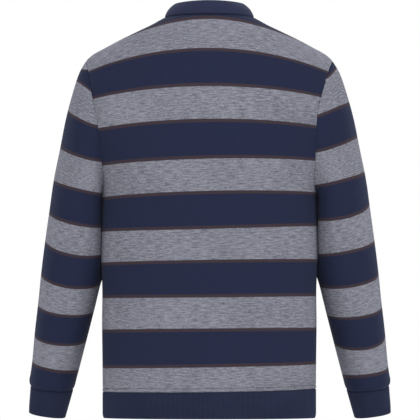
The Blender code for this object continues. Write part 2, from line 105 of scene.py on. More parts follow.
def make_light(name, place, size, power):
    """A square soft light."""
    data = bpy.data.lights.new(name, "AREA")
    data.size = size
    data.energy = power
    aim(add_object(name, data), place)


def make_surround():
    """A soft glow from all sides, which the camera sees as plain white."""
    world = bpy.data.worlds.new("studio")
    world.use_nodes = True
    tree = world.node_tree
    soft = tree.nodes["Background"]
    soft.inputs["Color"].default_value = WHITE
    soft.inputs["Strength"].default_value = SURROUND_GLOW
    white = tree.nodes.new("ShaderNodeBackground")
    white.inputs["Color"].default_value = WHITE
    path = tree.nodes.new("ShaderNodeLightPath")
    seen = tree.nodes.new("ShaderNodeMixShader")
    join(
        tree,
        (path, "Is Camera Ray", seen, "Fac"),
        (soft, "Background", seen, 1),
        (white, "Background", seen, 2),
        (seen, "Shader", tree.nodes["World Output"], "Surface"),
    )
    bpy.context.scene.world = world


def make_floor():
    """A pale disc that fades out into the white. Its underside lets the view through."""
    bpy.ops.mesh.primitive_circle_add(
        vertices=FLOOR_SIDES, radius=FLOOR_RADIUS, fill_type="NGON", location=(0, 0, FLOOR_HEIGHT)
    )
    floor = bpy.context.object
    floor.name = "studio_floor"
    pale = bpy.data.materials.new("studio_floor")
    pale.use_nodes = True
    nodes = pale.node_tree.nodes
    shader = nodes["Principled BSDF"]
    shader.inputs["Base Color"].default_value = (0.86, 0.86, 0.86, 1.0)
    shader.inputs["Roughness"].default_value = 0.9
    place = nodes.new("ShaderNodeTexCoord")
    reach = nodes.new("ShaderNodeVectorMath")
    reach.operation = "LENGTH"
    fade = nodes.new("ShaderNodeMapRange")
    fade.interpolation_type = "SMOOTHSTEP"
    fade.inputs["From Min"].default_value = FLOOR_FADES_FROM
    fade.inputs["From Max"].default_value = FLOOR_RADIUS
    side = nodes.new("ShaderNodeNewGeometry")
    gone = nodes.new("ShaderNodeMath")
    gone.operation = "MAXIMUM"
    clear = nodes.new("ShaderNodeBsdfTransparent")
    choose = nodes.new("ShaderNodeMixShader")
    join(
        pale.node_tree,
        (place, "Object", reach, 0),
        (reach, "Value", fade, "Value"),
        (fade, "Result", gone, 0),
        (side, "Backfacing", gone, 1),
        (gone, "Value", choose, "Fac"),
        (shader, "BSDF", choose, 1),
        (clear, "BSDF", choose, 2),
        (choose, "Shader", nodes["Material Output"], "Surface"),
    )
    floor.data.materials.append(pale)


make_camera()
for light in LIGHTS:
    make_light(*light)
make_surround()
make_floor()


# --- Back panel --------------------------------------------------------------------------
# One piece of fine striped jersey, brushed a little, cut with the stripes level at the
# hem. The shoulders slope, so the stripes there hang down towards the armholes.

CLOTH = 0.0018
SEAM_TO_BAND = -0.6650
UNDERARM = -0.3150
SHOULDER_X, SHOULDER_Z = 0.2195, -0.0775
ARMHOLE_HALF_DEPTH = 0.072
ARMHOLE_ROUND = 2.2
NECK_HALF_WIDTH = 0.0798
NECK_SIDE, NECK_BACK, NECK_FRONT = -0.0006, 0.0008, -0.0720
NECK_FRONT_ROUND = 2.2
SECTION_ROUND, SECTION_FULLER_BY, SECTION_FULL_BELOW_NECK = 2.0, 0.25, 0.05

# Depth of the cloth behind and in front of the side seams, along the centre lines
DEPTHS = (
    # height, back, front
    (0.0040, 0.058, 0.014),
    (-0.0010, 0.066, 0.019),
    (-0.0200, 0.078, 0.036),
    (-0.0400, 0.088, 0.052),
    (-0.0720, 0.100, 0.074),
    (-0.1000, 0.109, 0.091),
    (-0.1300, 0.117, 0.105),
    (-0.1800, 0.125, 0.118),
    (-0.2300, 0.128, 0.125),
    (-0.3000, 0.124, 0.127),
    (-0.3800, 0.115, 0.122),
    (-0.4600, 0.108, 0.116),
    (-0.5400, 0.105, 0.112),
    (-0.6200, 0.104, 0.110),
    (-0.7136, 0.101, 0.107),
)

# Half width of the level sections: down the shoulder seam, past the armhole, to the side
WIDTHS = (
    # height, half width
    (0.0015, 0.0760),
    (-0.0055, 0.0890),
    (-0.0133, 0.1030),
    (-0.0270, 0.1315),
    (-0.0410, 0.1600),
    (-0.0566, 0.1891),
    (-0.0644, 0.2037),
    (-0.0775, 0.2195),
    (-0.0970, 0.2280),
    (-0.1290, 0.2320),
    (-0.1680, 0.2300),
    (-0.2100, 0.2225),
    (-0.2600, 0.2095),
    (-0.2900, 0.1990),
    (-0.3150, 0.1938),
    (-0.3450, 0.1937),
    (-0.3800, 0.1937),
    (-0.4200, 0.1935),
    (-0.4500, 0.1922),
    (-0.4700, 0.1909),
    (-0.5500, 0.1908),
    (-0.6200, 0.1899),
    (-0.6650, 0.1895),
    (-0.7136, 0.1895),
)

# How far the armhole seams lie further in at the back than at the front
BACK_ARMHOLE_INSETS = (
    # height, left, right
    (-0.0775, 0.0000, 0.0000),
    (-0.1000, -0.0025, 0.0012),
    (-0.1300, -0.0040, 0.0042),
    (-0.1480, -0.0040, 0.0055),
    (-0.1700, -0.0028, 0.0070),
    (-0.2000, -0.0015, 0.0060),
    (-0.2400, -0.0018, 0.0034),
    (-0.2700, -0.0014, 0.0026),
    (-0.2950, 0.0000, 0.0036),
    (-0.3080, 0.0002, 0.0028),
    (-0.3150, 0.0000, 0.0000),
)

# The seam to the hem band isn't quite level: how far it rises across the body
SEAM_RISES = (
    # place across, rise
    (-0.1900, 0.0042),
    (-0.1200, 0.0012),
    (-0.0500, -0.0001),
    (0.0200, -0.0011),
    (0.1000, -0.0016),
    (0.1900, -0.0016),
)

# The stripes: navy at each whole repeat, then heather after the navy's share of it
REPEAT = 0.1225
NAVY_SHARE = 0.558
STRIPE_LEVELS = (
    # height of the centre line, repeats, slope across, how far it hangs down at the tips
    (-0.0092, NAVY_SHARE - 1, -0.0052, 0.0655),
    (-0.0619, 0, -0.0049, 0.0412),
    (-0.1308, NAVY_SHARE, 0.0029, 0.0216),
    (-0.1883, 1, 0.0097, 0.0150),
    (-0.2583, 1 + NAVY_SHARE, 0.0208, 0.0072),
    (-0.3142, 2, 0.0225, 0.0050),
    (-0.3806, 2 + NAVY_SHARE, 0.0257, -0.0030),
    (-0.4343, 3, 0.0155, 0.0005),
    (-0.5002, 3 + NAVY_SHARE, 0.0078, -0.0013),
    (-0.5541, 4, 0.0058, 0.0009),
    (-0.6220, 4 + NAVY_SHARE, 0.0090, 0.0000),
    (-0.6748, 5, 0.0122, 0.0019),
)
STRIPE_DROOP_AT = 0.222

# Metres of pattern in a metre of the cloth above the first of those rows, where it stretches
STRETCH_AT_NECK = 0.68

# Soft creases of the back: a trough along a line in the back view, with its width and depth
BACK_CREASES = (
    # from x, from z, to x, to z, width, depth
    (-0.099, -0.030, -0.083, -0.060, 0.0030, 0.0007),
    (0.158, -0.245, 0.120, -0.300, 0.0110, 0.0008),
    (0.176, -0.300, 0.150, -0.385, 0.0100, 0.0007),
    (-0.160, -0.240, -0.128, -0.282, 0.0100, 0.0008),
    (-0.178, -0.310, -0.158, -0.372, 0.0090, 0.0007),
    (0.168, -0.430, 0.160, -0.560, 0.0130, 0.0008),
    (-0.166, -0.470, -0.160, -0.610, 0.0120, 0.0008),
    (0.060, -0.560, 0.052, -0.655, 0.0170, 0.0009),
    (-0.052, -0.120, -0.030, -0.165, 0.0150, 0.0009),
)
CREASES_FADE_WITHIN = 0.02

# The low ridge beside each crease: its share of the depth, and how many widths aside it lies
CREASE_RIDGE, CREASE_RIDGE_ASIDE = 0.45, 1.9

# The stitching above the hem seam, and the relief there: how deep or high, and how wide
HEM_STITCH = 0.0062
STITCH_SINKS, STITCH_SINK_WIDTH = 0.0008, 0.0012
HEM_SWELLS, HEM_SWELL_WIDTH = 0.0007, 0.0019
SEAM_SINKS, SEAM_SINK_WIDTH = 0.0010, 0.0009

# The rows and columns of the panels' meshes
SIDE_COLUMNS = 50
ARMHOLE_ROWS = 56
LOWER_ROWS = 80
SIDE_PLACES = (0.985, 0.992, 0.997, 1.0)
HEM_ROWS = (0.9850, 0.9880, 0.9893, 0.9906, 0.9919, 0.9932, 0.9950, 0.9966, 0.9980, 0.9988, 1.0)
SPREAD_BY_ANGLE_FROM = 0.45


def curve(table, at, column=1):
    """The column's values at some heights, on a smooth curve through the table's rows."""
    rows = np.array(sorted(table))
    heights, values = rows[:, 0], rows[:, column]
    slopes = np.gradient(values, heights)
    at = np.clip(at, heights[0], heights[-1])
    i = np.clip(np.searchsorted(heights, at) - 1, 0, len(heights) - 2)
    span = heights[i + 1] - heights[i]
    u = (at - heights[i]) / span
    rise = (3 - 2 * u) * u * u
    ease_out = u * (1 - u) ** 2 * span * slopes[i]
    ease_in = u * u * (1 - u) * span * slopes[i + 1]
    return values[i] + (values[i + 1] - values[i]) * rise + ease_out - ease_in


def smooth_step(share):
    share = np.clip(share, 0.0, 1.0)
    return share * share * (3 - 2 * share)


def hump(distance, width):
    """1 at no distance, falling softly away on both sides."""
    return np.exp(-((distance / width) ** 2))


def roundness(z):
    """Power of the rounded ellipse: a plain ellipse at the neck, fuller over the body."""
    share = np.clip(z / (NECK_FRONT - SECTION_FULL_BELOW_NECK), 0.0, 1.0)
    return SECTION_ROUND + SECTION_FULLER_BY * share


def rounded(angle, power):
    """Cosine and sine of a rounded ellipse."""
    pair = np.cos(angle), np.sin(angle)
    sizes = (np.where(np.abs(value) > 1e-9, np.abs(value), 0.0) for value in pair)
    return [np.sign(value) * size ** (2 / power) for value, size in zip(pair, sizes)]


def depth(z, front):
    """Depth of the body at a height, behind the side seams or in front of them."""
    return np.where(front, curve(DEPTHS, z, 2), curve(DEPTHS, z, 1))


def armhole_depth(z):
    """How far the armhole seam lies behind or in front of the side seam at a height."""
    middle = (SHOULDER_Z + UNDERARM) / 2
    half = (SHOULDER_Z - UNDERARM) / 2
    share = np.minimum(1.0, np.abs((z - middle) / half))
    return ARMHOLE_HALF_DEPTH * (1 - share**ARMHOLE_ROUND) ** (1 / ARMHOLE_ROUND)


def section_x(y, z, front):
    """Half width of the body's level section beside a point that far from the side seam."""
    power = roundness(z)
    share = np.minimum(1.0, np.abs(y) / depth(z, front)) ** power
    return curve(WIDTHS, np.minimum(z, SHOULDER_Z)) * (1 - share) ** (1 / power)


def side_x(z, front):
    """The outer edge of the front or the back: shoulder end, armhole, then side seam."""
    return section_x(armhole_depth(z), z, front)


def body_y(x, z, front):
    """The body's surface behind or in front of a point of the front view."""
    power = roundness(z)
    share = np.minimum(1.0, np.abs(x) / curve(WIDTHS, z)) ** power
    y = depth(z, front) * (1 - share) ** (1 / power)
    return np.where(front, -y, y)


def neck_z(x, front):
    """Height of the neckline seam over a point of the front view."""
    share = np.minimum(1.0, np.abs(x) / NECK_HALF_WIDTH)
    low = NECK_FRONT + (NECK_SIDE - NECK_FRONT) * (1 - np.sqrt(1 - share**NECK_FRONT_ROUND))
    return np.where(front, low, NECK_BACK + (NECK_SIDE - NECK_BACK) * share**2)


def top_z(x, front):
    """Height of the panel's top edge: the neckline, then the shoulder seam."""
    shoulder = [(width, z) for z, width in WIDTHS if z >= SHOULDER_Z]
    on_neck = np.abs(x) < NECK_HALF_WIDTH
    return np.where(on_neck, neck_z(x, front), curve(shoulder, np.abs(x)))


def stripe_run(grid):
    """How far down the cloth's pattern each point of a panel lies, in metres of cloth."""
    x, z = grid[:, :, 0], grid[:, :, 2]
    level = z
    for _ in range(6):
        droop = curve(STRIPE_LEVELS, level, 3) * (x / STRIPE_DROOP_AT) ** 2
        level = z + curve(STRIPE_LEVELS, level, 2) * x + droop
    below = np.minimum(0.0, level - STRIPE_LEVELS[-1][0])
    down = run_along(grid, axis=0)
    columns = range(grid.shape[1])
    first = [np.interp(-STRIPE_LEVELS[0][0], -level[:, k], down[:, k]) for k in columns]
    above = np.maximum(0.0, np.array(first) - down)
    return REPEAT * curve(STRIPE_LEVELS, level) - below - above * STRETCH_AT_NECK


def panel_rows():
    """Shares of the way down: by angle round the armhole, then evenly to the hem band."""
    turns = np.linspace(0, math.pi, ARMHOLE_ROWS + 1)
    c = rounded(turns, ARMHOLE_ROUND)[0]
    armhole = (1 - c) / 2 * (SHOULDER_Z - UNDERARM) / (SHOULDER_Z - SEAM_TO_BAND)
    lower = np.linspace(armhole[-1], HEM_ROWS[0], LOWER_ROWS + 1)[1:-1]
    return np.concatenate([armhole, lower, HEM_ROWS])


def armhole_inset(z, front, side):
    return np.where(front, 0.0, curve(BACK_ARMHOLE_INSETS, z, 1 if side > 0 else 2))


def panel_half(front, side, places, start=0.0):
    """Outer points of one half of a panel, from a distance beside its centre line.

    The side is 1 for the wearer's left and -1 for the right. Both come out on the left.
    """
    place = places[None, :]
    share = panel_rows()[:, None]
    x_top = start + (SHOULDER_X - start) * place
    z_top = top_z(x_top, front)
    z = z_top + (SEAM_TO_BAND - z_top) * share
    ease = smooth_step(share / SPREAD_BY_ANGLE_FROM)
    spread = place * (1 - ease) + np.sin(place * math.pi / 2) * ease
    x = start + (side_x(z, front) - armhole_inset(z, front, side) - start) * spread
    y = body_y(x, z, front)
    y[0] = np.where(x_top[0] > NECK_HALF_WIDTH - 1e-6, 0.0, y[0])
    return np.stack([x, y, z], axis=2)


def run_along(grid, axis=1):
    """Length from the first point of each row, or of each column, in metres."""
    steps = np.linalg.norm(np.diff(grid, axis=axis), axis=2)
    first = np.zeros_like(np.take(steps, [0], axis=axis))
    return np.concatenate([first, np.cumsum(steps, axis=axis)], axis=axis)


def surface_normals(grid, wrap=False):
    """Unit normals of a grid of points. They point away from the middle of each row."""
    across = np.gradient(grid, axis=1)
    if wrap:
        across = (np.roll(grid, -1, axis=1) - np.roll(grid, 1, axis=1)) / 2
    found = np.cross(across, np.gradient(grid, axis=0))
    found /= np.maximum(np.linalg.norm(found, axis=2, keepdims=True), 1e-12)
    outward = (found * (grid - grid.mean(axis=1, keepdims=True))).sum()
    return found * np.sign(outward)


def unit(vectors):
    return vectors / np.maximum(np.linalg.norm(vectors, axis=-1, keepdims=True), 1e-12)


def trough(places, creases):
    """Depth of the creases at each place: soft, with a low ridge beside, fading at the ends."""
    total = np.zeros(places.shape[:2])
    for x0, z0, x1, z1, width, deep in creases:
        start, run = np.array([x0, z0]), np.array([x1 - x0, z1 - z0])
        length = np.linalg.norm(run)
        along = (places - start) @ run / length**2
        aside = (places - start) @ np.array([-run[1], run[0]]) / (length * width)
        fade = smooth_step(1.25 - np.abs(2 * along - 1) * 1.1)
        ridge = CREASE_RIDGE * hump(aside - CREASE_RIDGE_ASIDE, 1.0)
        total += deep * fade * (hump(aside, 1.0) - ridge)
    return total


def seam_dip(distance, reach=0.0017, deep=0.0014):
    """How far the cloth dips in beside a seam."""
    return deep * hump(distance, reach)


def hem_relief(distance):
    """How far the cloth sinks above the hem seam: at the seam and under the stitching.

    Between the two it swells a little over the seam's turned edges.
    """
    stitched = STITCH_SINKS * hump(distance - HEM_STITCH, STITCH_SINK_WIDTH)
    padded = HEM_SWELLS * hump(distance - HEM_STITCH / 2, HEM_SWELL_WIDTH)
    return stitched - padded + SEAM_SINKS * hump(distance, SEAM_SINK_WIDTH)


def make_cloth(name, grid, uv, out, material, wrap=False, closed=False, leave_out=None):
    """A mesh of four-sided cells through a grid of points, facing out, with its cloth UV.

    A wrapped mesh joins its last column to its first, a closed one its last row too, and
    the UV has one more of each.
    """
    rows, columns = grid.shape[:2]
    i, j = np.meshgrid(
        np.arange(rows if closed else rows - 1),
        np.arange(columns if wrap else columns - 1),
        indexing="ij",
    )
    keep = np.ones(i.shape, bool) if leave_out is None else ~leave_out
    i, j = i[keep], j[keep]
    corners = [(i, j), (i, j + 1), (i + 1, j + 1), (i + 1, j)]
    points = [grid[r % rows, c % columns] for r, c in corners]
    facing = np.cross(points[2] - points[0], points[3] - points[1])
    if not closed and (facing * out[i, j]).sum() < 0:
        corners = corners[::-1]
    faces = np.stack([r % rows * columns + c % columns for r, c in corners], axis=1)
    mesh = bpy.data.meshes.new(name)
    mesh.from_pydata(grid.reshape(-1, 3).tolist(), [], faces.tolist())
    layer = mesh.uv_layers.new(name="cloth")
    loops = np.stack([uv[r, c] for r, c in corners], axis=1)
    layer.data.foreach_set("uv", loops.reshape(-1).astype(np.float32))
    if closed:
        work = bmesh.new()
        work.from_mesh(mesh)
        bmesh.ops.remove_doubles(work, verts=work.verts, dist=1e-6)
        bmesh.ops.recalc_face_normals(work, faces=work.faces)
        work.to_mesh(mesh)
        work.free()
    mesh.materials.append(material)
    mesh.shade_smooth()
    return add_object(name, mesh)


def thicken(piece):
    """Gives a one-sided sheet of jersey its thickness, inwards from the outer surface."""
    layer = piece.modifiers.new("cloth", "SOLIDIFY")
    layer.thickness = CLOTH
    layer.offset = -1.0


def sew_in(piece, node):
    """Puts a cloth piece in its node's place on the garment."""
    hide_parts(node)
    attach(piece, "garment")


class Wire:
    """A shader socket that is used like a number: each operator adds its Math node."""

    def __init__(self, finish, socket):
        self.finish = finish
        self.socket = socket

    def maths(self, operation, *values):
        return self.finish.node("ShaderNodeMath", {"operation": operation}, dict(enumerate(values)))

    def __add__(self, other):
        return self.maths("ADD", self, other)

    def __sub__(self, other):
        return self.maths("SUBTRACT", self, other)

    def __mul__(self, other):
        return self.maths("MULTIPLY", self, other)

    def __truediv__(self, other):
        return self.maths("DIVIDE", self, other)

    def __rsub__(self, other):
        return self.maths("SUBTRACT", other, self)

    __radd__ = __add__
    __rmul__ = __mul__

    def fraction(self):
        return self.maths("FRACT", self)

    def sine(self):
        return self.maths("SINE", self)

    def distance(self, other=0.0):
        return self.maths("ABSOLUTE", self - other)

    def ramp(self, low, high):
        """0 at low and below, 1 at high and above, smooth between."""
        settings = {"interpolation_type": "SMOOTHSTEP"}
        limits = {"Value": self, "From Min": low, "From Max": high}
        return self.finish.node("ShaderNodeMapRange", settings, limits)


class Finish:
    """A material with a Principled shader, built up node by node."""

    def __init__(self, name, **constants):
        self.material = bpy.data.materials.new(name)
        self.material.use_nodes = True
        self.tree = self.material.node_tree
        self.shader = self.tree.nodes["Principled BSDF"]
        for key, value in constants.items():
            socket = key.replace("_", " ").title().replace("Ior", "IOR")
            self.shader.inputs[socket].default_value = value

    def node(self, kind, settings=None, inputs=None, output=0):
        """Adds a node: its settings first, then its sockets' values or links."""
        made = self.tree.nodes.new(kind)
        for key, value in (settings or {}).items():
            setattr(made, key, value)
        for key, value in (inputs or {}).items():
            self.feed(made.inputs[key], value)
        return Wire(self, made.outputs[output])

    def feed(self, socket, value):
        if isinstance(value, Wire):
            self.tree.links.new(value.socket, socket)
        else:
            socket.default_value = value

    def split(self, place):
        made = self.tree.nodes.new("ShaderNodeSeparateXYZ")
        self.feed(made.inputs["Vector"], place)
        return [Wire(self, made.outputs[axis]) for axis in "XYZ"]

    def cloth_place(self):
        """Along the course and down the cloth, in metres, from the piece's own UV map."""
        return self.split(self.node("ShaderNodeUVMap", {"uv_map": "cloth"}))[:2]

    def object_place(self):
        return self.node("ShaderNodeTexCoord", output="Object")

    def vector(self, x, y, z=0.0):
        return self.node("ShaderNodeCombineXYZ", None, {"X": x, "Y": y, "Z": z})

    def noise(self, place, scale, detail=2.0, roughness=0.5):
        inputs = {"Vector": place, "Scale": scale, "Detail": detail, "Roughness": roughness}
        return self.node("ShaderNodeTexNoise", {"noise_dimensions": "3D"}, inputs)

    def mix(self, mask, first, second):
        """The first colour where the mask is 0 and the second where it is 1."""
        settings = {"data_type": "RGBA", "clamp_factor": True}
        colours = {0: mask, 6: first, 7: second}
        return self.node("ShaderNodeMix", settings, colours, output=2)

    def color(self, value):
        self.feed(self.shader.inputs["Base Color"], value)

    def roughness(self, value):
        self.feed(self.shader.inputs["Roughness"], value)

    def relief(self, height, distance):
        """A bump of that many metres."""
        inputs = {"Height": height, "Distance": distance, "Strength": 1.0}
        self.feed(self.shader.inputs["Normal"], self.node("ShaderNodeBump", None, inputs))


def linear(red, green, blue):
    """A shader colour from the values that a screen shows, 0 to 255."""
    shown = [c / 255 for c in (red, green, blue)]
    return tuple(c / 12.92 if c <= 0.04045 else ((c + 0.055) / 1.055) ** 2.4 for c in shown) + (1.0,)


NAVY_DEEP, NAVY_SOFT = linear(33, 39, 63), linear(38, 44, 69)
HEATHER_DARK, HEATHER_LIGHT = linear(82, 84, 97), linear(156, 157, 168)
BROWN = linear(62, 52, 59)
BROWN_WIDTH = 0.0055
YARN_BLEND = 0.0005
WALE, COURSE = 0.00125, 0.00095
STITCH_RELIEF = 0.00016
NAP_TINT = (0.75, 0.80, 1.0, 1.0)


def striped_jersey():
    """Navy and heather stripes edged in brown, with the V of each knitted stitch."""
    sheen = {"sheen_weight": 0.05, "sheen_roughness": 0.4, "sheen_tint": NAP_TINT}
    finish = Finish("striped_jersey", roughness=0.95, specular_ior_level=0.12, **sheen)
    u, v = finish.cloth_place()
    repeats = (v / REPEAT).fraction()
    from_middle = (repeats - NAVY_SHARE / 2).distance()
    from_middle = (0.5 - (from_middle - 0.5).distance()) * REPEAT
    edge = NAVY_SHARE / 2 * REPEAT
    heather = from_middle.ramp(edge - YARN_BLEND, edge + YARN_BLEND)
    brown = from_middle.ramp(edge - BROWN_WIDTH - 2 * YARN_BLEND, edge - BROWN_WIDTH + YARN_BLEND)
    long_streaks = finish.noise(finish.vector(u * 62, v * 520), 1.0, 3.0, 0.65)
    short_streaks = finish.noise(finish.vector(u * 230, v * 900, 3.0), 1.0, 2.0, 0.6)
    cloudy = finish.noise(finish.vector(u * 9, v * 14, 7.0), 1.0, 2.0)
    streaks = long_streaks * 0.62 + short_streaks * 0.38
    fleck = (streaks + (cloudy - 0.5) * 0.10).ramp(0.30, 0.70)
    grey = finish.mix(fleck, HEATHER_DARK, HEATHER_LIGHT)
    navy = finish.mix(streaks.ramp(0.3, 0.7), NAVY_DEEP, NAVY_SOFT)
    dark = finish.mix(brown, navy, BROWN)
    finish.color(finish.mix(heather, dark, grey))
    across = ((u / WALE).fraction() - 0.5).distance()
    stitch = ((v / COURSE + across * 0.9) * (2 * math.pi)).sine() * 0.5
    wale = (across * (2 * math.pi)).sine()
    nap = finish.noise(finish.vector(u * 700, v * 700, 11.0), 1.0, 2.0)
    finish.relief(stitch * 0.45 + wale * 0.55 + nap * 0.5, STITCH_RELIEF)
    return finish.material


def side_places():
    """Places from the centre line to the side seam, closer together beside the seam."""
    return np.concatenate([np.linspace(0, 0.975, SIDE_COLUMNS), SIDE_PLACES])


def sink_seams(grid, creases, slit=0.0):
    """Lets a panel's creases and its edges beside the seams sink in. Returns its normals too."""
    out = surface_normals(grid)
    across, down = run_along(grid), run_along(grid, axis=0)
    to_side = np.minimum(across, across[:, -1:] - across)
    dip = np.maximum(np.maximum(seam_dip(to_side), seam_dip(down)), slit)
    dip = dip + hem_relief(down[-1:] - down)
    fade = smooth_step(to_side / CREASES_FADE_WITHIN)
    dip = dip + trough(grid[:, :, (0, 2)], creases) * fade
    flat = out.copy()
    flat[:, (0, -1), 1] = 0.0
    flat[0, np.abs(grid[0, :, 0]) > NECK_HALF_WIDTH - 1e-6, 1] = 0.0
    return grid - unit(flat) * dip[:, :, None], out


def tilt_seam(grid):
    """Lifts the lower end of the columns to the seam's real slope across the body."""
    share = np.clip((grid[:, :, 2] - UNDERARM) / (SEAM_TO_BAND - UNDERARM), 0, 1) ** 4
    tilted = grid.copy()
    tilted[:, :, 2] += share * curve(SEAM_RISES, grid[:, :, 0])
    return tilted


def make_back(material):
    left, right = (panel_half(False, side, side_places()) for side in (1, -1))
    grid = np.concatenate([(right * (-1, 1, 1))[:, :0:-1], left], axis=1)
    across = run_along(grid)
    centre = left.shape[1] - 1
    uv = np.stack([across - across[:, centre : centre + 1], stripe_run(grid)], axis=2)
    grid, out = sink_seams(tilt_seam(grid), BACK_CREASES)
    back = make_cloth("back_jersey", grid, uv, out, material)
    thicken(back)
    sew_in(back, "back")
    return grid


jersey = striped_jersey()
back_grid = make_back(jersey)


# --- Front panel -------------------------------------------------------------------------
# The same jersey, with a lower neckline and a slit down the centre for the zip. The edges
# of the slit are turned in on the zip's tapes, and the stripes run round from the back.

SLIT_HALF_WIDTH = 0.0045
SLIT_ROW = 32
SLIT_PLACES = (0.0, 0.0012, 0.0030, 0.0055, 0.0100)
SLIT_TURNS, SLIT_SINKS = 0.0013, 0.0011

FRONT_CREASES = (
    # from x, from z, to x, to z, width, depth
    (0.155, -0.238, 0.112, -0.302, 0.0110, 0.0015),
    (0.172, -0.305, 0.142, -0.372, 0.0100, 0.0013),
    (-0.158, -0.246, -0.122, -0.290, 0.0100, 0.0016),
    (-0.175, -0.298, -0.150, -0.380, 0.0105, 0.0013),
    (0.120, -0.110, 0.070, -0.150, 0.0130, 0.0010),
    (-0.118, -0.104, -0.074, -0.158, 0.0120, 0.0011),
    (0.166, -0.450, 0.158, -0.590, 0.0120, 0.0011),
    (-0.168, -0.420, -0.160, -0.540, 0.0130, 0.0013),
    (0.020, -0.245, 0.034, -0.330, 0.0140, 0.0010),
    (-0.064, -0.575, -0.056, -0.655, 0.0160, 0.0009),
)


def make_front(material):
    places = np.concatenate([SLIT_PLACES, side_places()[1:]])
    half = panel_half(True, 1, places, SLIT_HALF_WIDTH)
    grid = np.concatenate([(half * (-1, 1, 1))[:, ::-1], half], axis=1)
    left_edge = half.shape[1]
    across = run_along(grid)
    middle = (across[:, left_edge - 1 : left_edge] + across[:, left_edge : left_edge + 1]) / 2
    u = across - middle
    uv = np.stack([u, stripe_run(grid)], axis=2)
    beside_slit = seam_dip(np.abs(u) - SLIT_HALF_WIDTH, SLIT_TURNS, SLIT_SINKS)
    rows = np.arange(len(grid))[:, None]
    beside_slit = beside_slit * (rows <= SLIT_ROW)
    grid, out = sink_seams(tilt_seam(grid), FRONT_CREASES, beside_slit)
    columns = np.arange(grid.shape[1] - 1)[None, :]
    slit = (rows[:-1] < SLIT_ROW) & (columns == left_edge - 1)
    front = make_cloth("front_jersey", grid, uv, out, material, leave_out=slit)
    thicken(front)
    sew_in(front, "front")
    return grid


front_grid = make_front(jersey)


# --- Sleeves -----------------------------------------------------------------------------
# One piece of the jersey each, set in at the armhole and sewn up under the arm. It is a
# little fuller than the cuff and blouses over it. Its stripes miss those of the body.

SLEEVE_RINGS = (
    # outer x, outer z, inner x, inner z, middle y, half depth, back droop, fall beside the body
    (0.2195, -0.0775, 0.1895, -0.3150, 0.000, 0.0720, 0.00, 1.00),
    (0.2325, -0.1010, 0.1905, -0.3260, -0.001, 0.0735, 0.00, 1.00),
    (0.2450, -0.1400, 0.1890, -0.3400, -0.003, 0.0745, 0.00, 1.00),
    (0.2563, -0.1833, 0.1875, -0.3580, -0.006, 0.0745, 0.00, 1.00),
    (0.2668, -0.2367, 0.1860, -0.3780, -0.009, 0.0730, 0.00, 1.05),
    (0.2776, -0.2900, 0.1850, -0.4020, -0.012, 0.0710, 0.00, 1.10),
    (0.2852, -0.3435, 0.1850, -0.4280, -0.015, 0.0690, 0.02, 1.15),
    (0.2928, -0.3970, 0.1880, -0.4550, -0.019, 0.0670, 0.05, 1.20),
    (0.2995, -0.4500, 0.1955, -0.4820, -0.024, 0.0650, 0.09, 1.20),
    (0.3050, -0.5037, 0.2045, -0.5190, -0.031, 0.0625, 0.13, 1.10),
    (0.3113, -0.5571, 0.2160, -0.5640, -0.040, 0.0590, 0.15, 1.00),
    (0.3163, -0.6105, 0.2290, -0.6140, -0.049, 0.0540, 0.16, 1.00),
    (0.3205, -0.6430, 0.2380, -0.6480, -0.055, 0.0495, 0.16, 1.00),
    (0.3200, -0.6565, 0.2423, -0.6630, -0.057, 0.0455, 0.16, 1.00),
)

# The brown line's share of a repeat, which one row takes off to give that line its width
BROWN_SHARE = 0.045

# Where each colour starts on the left sleeve (1) and on the right one (-1)
SLEEVE_STRIPES = {
    1: (
        # repeats, height at the outer edge, at the inner edge, sag between them
        (-1, -0.0922, -0.0945, 0.0020),
        (NAVY_SHARE - BROWN_SHARE - 1, -0.1090, -0.1316, 0.0000),
        (NAVY_SHARE - 1, -0.1142, -0.1368, 0.0000),
        (0, -0.1647, -0.1919, 0.0079),
        (NAVY_SHARE, -0.2317, -0.2555, 0.0098),
        (1, -0.2899, -0.3115, 0.0060),
        (1 + NAVY_SHARE, -0.3481, -0.3672, 0.0151),
        (2, -0.3942, -0.4088, 0.0225),
        (2 + NAVY_SHARE, -0.4566, -0.4696, 0.0212),
        (3, -0.5110, -0.5205, 0.0142),
        (3 + NAVY_SHARE, -0.5670, -0.5740, 0.0150),
        (4, -0.6120, -0.6245, 0.0088),
    ),
    -1: (
        (NAVY_SHARE - 1, -0.0903, -0.1112, 0.0041),
        (0, -0.1519, -0.1779, 0.0015),
        (NAVY_SHARE, -0.2139, -0.2408, 0.0076),
        (1, -0.2752, -0.2977, 0.0061),
        (1 + NAVY_SHARE, -0.3343, -0.3515, 0.0190),
        (2, -0.3973, -0.4154, 0.0120),
        (2 + NAVY_SHARE, -0.4602, -0.4749, 0.0154),
        (3, -0.5163, -0.5260, 0.0128),
        (3 + NAVY_SHARE, -0.5720, -0.5742, 0.0208),
        (4, -0.6243, -0.6332, 0.0073),
    ),
}

# How far each arm hangs further out than the solid
ARM_SHIFTS = (
    # height, left, right
    (-0.0775, 0.0000, 0.0000),
    (-0.1390, 0.0000, 0.0012),
    (-0.2460, 0.0000, 0.0021),
    (-0.4300, 0.0003, 0.0021),
    (-0.5400, 0.0007, 0.0027),
    (-0.6200, 0.0010, 0.0030),
    (-0.6700, 0.0013, 0.0032),
    (-0.7136, 0.0015, 0.0035),
)

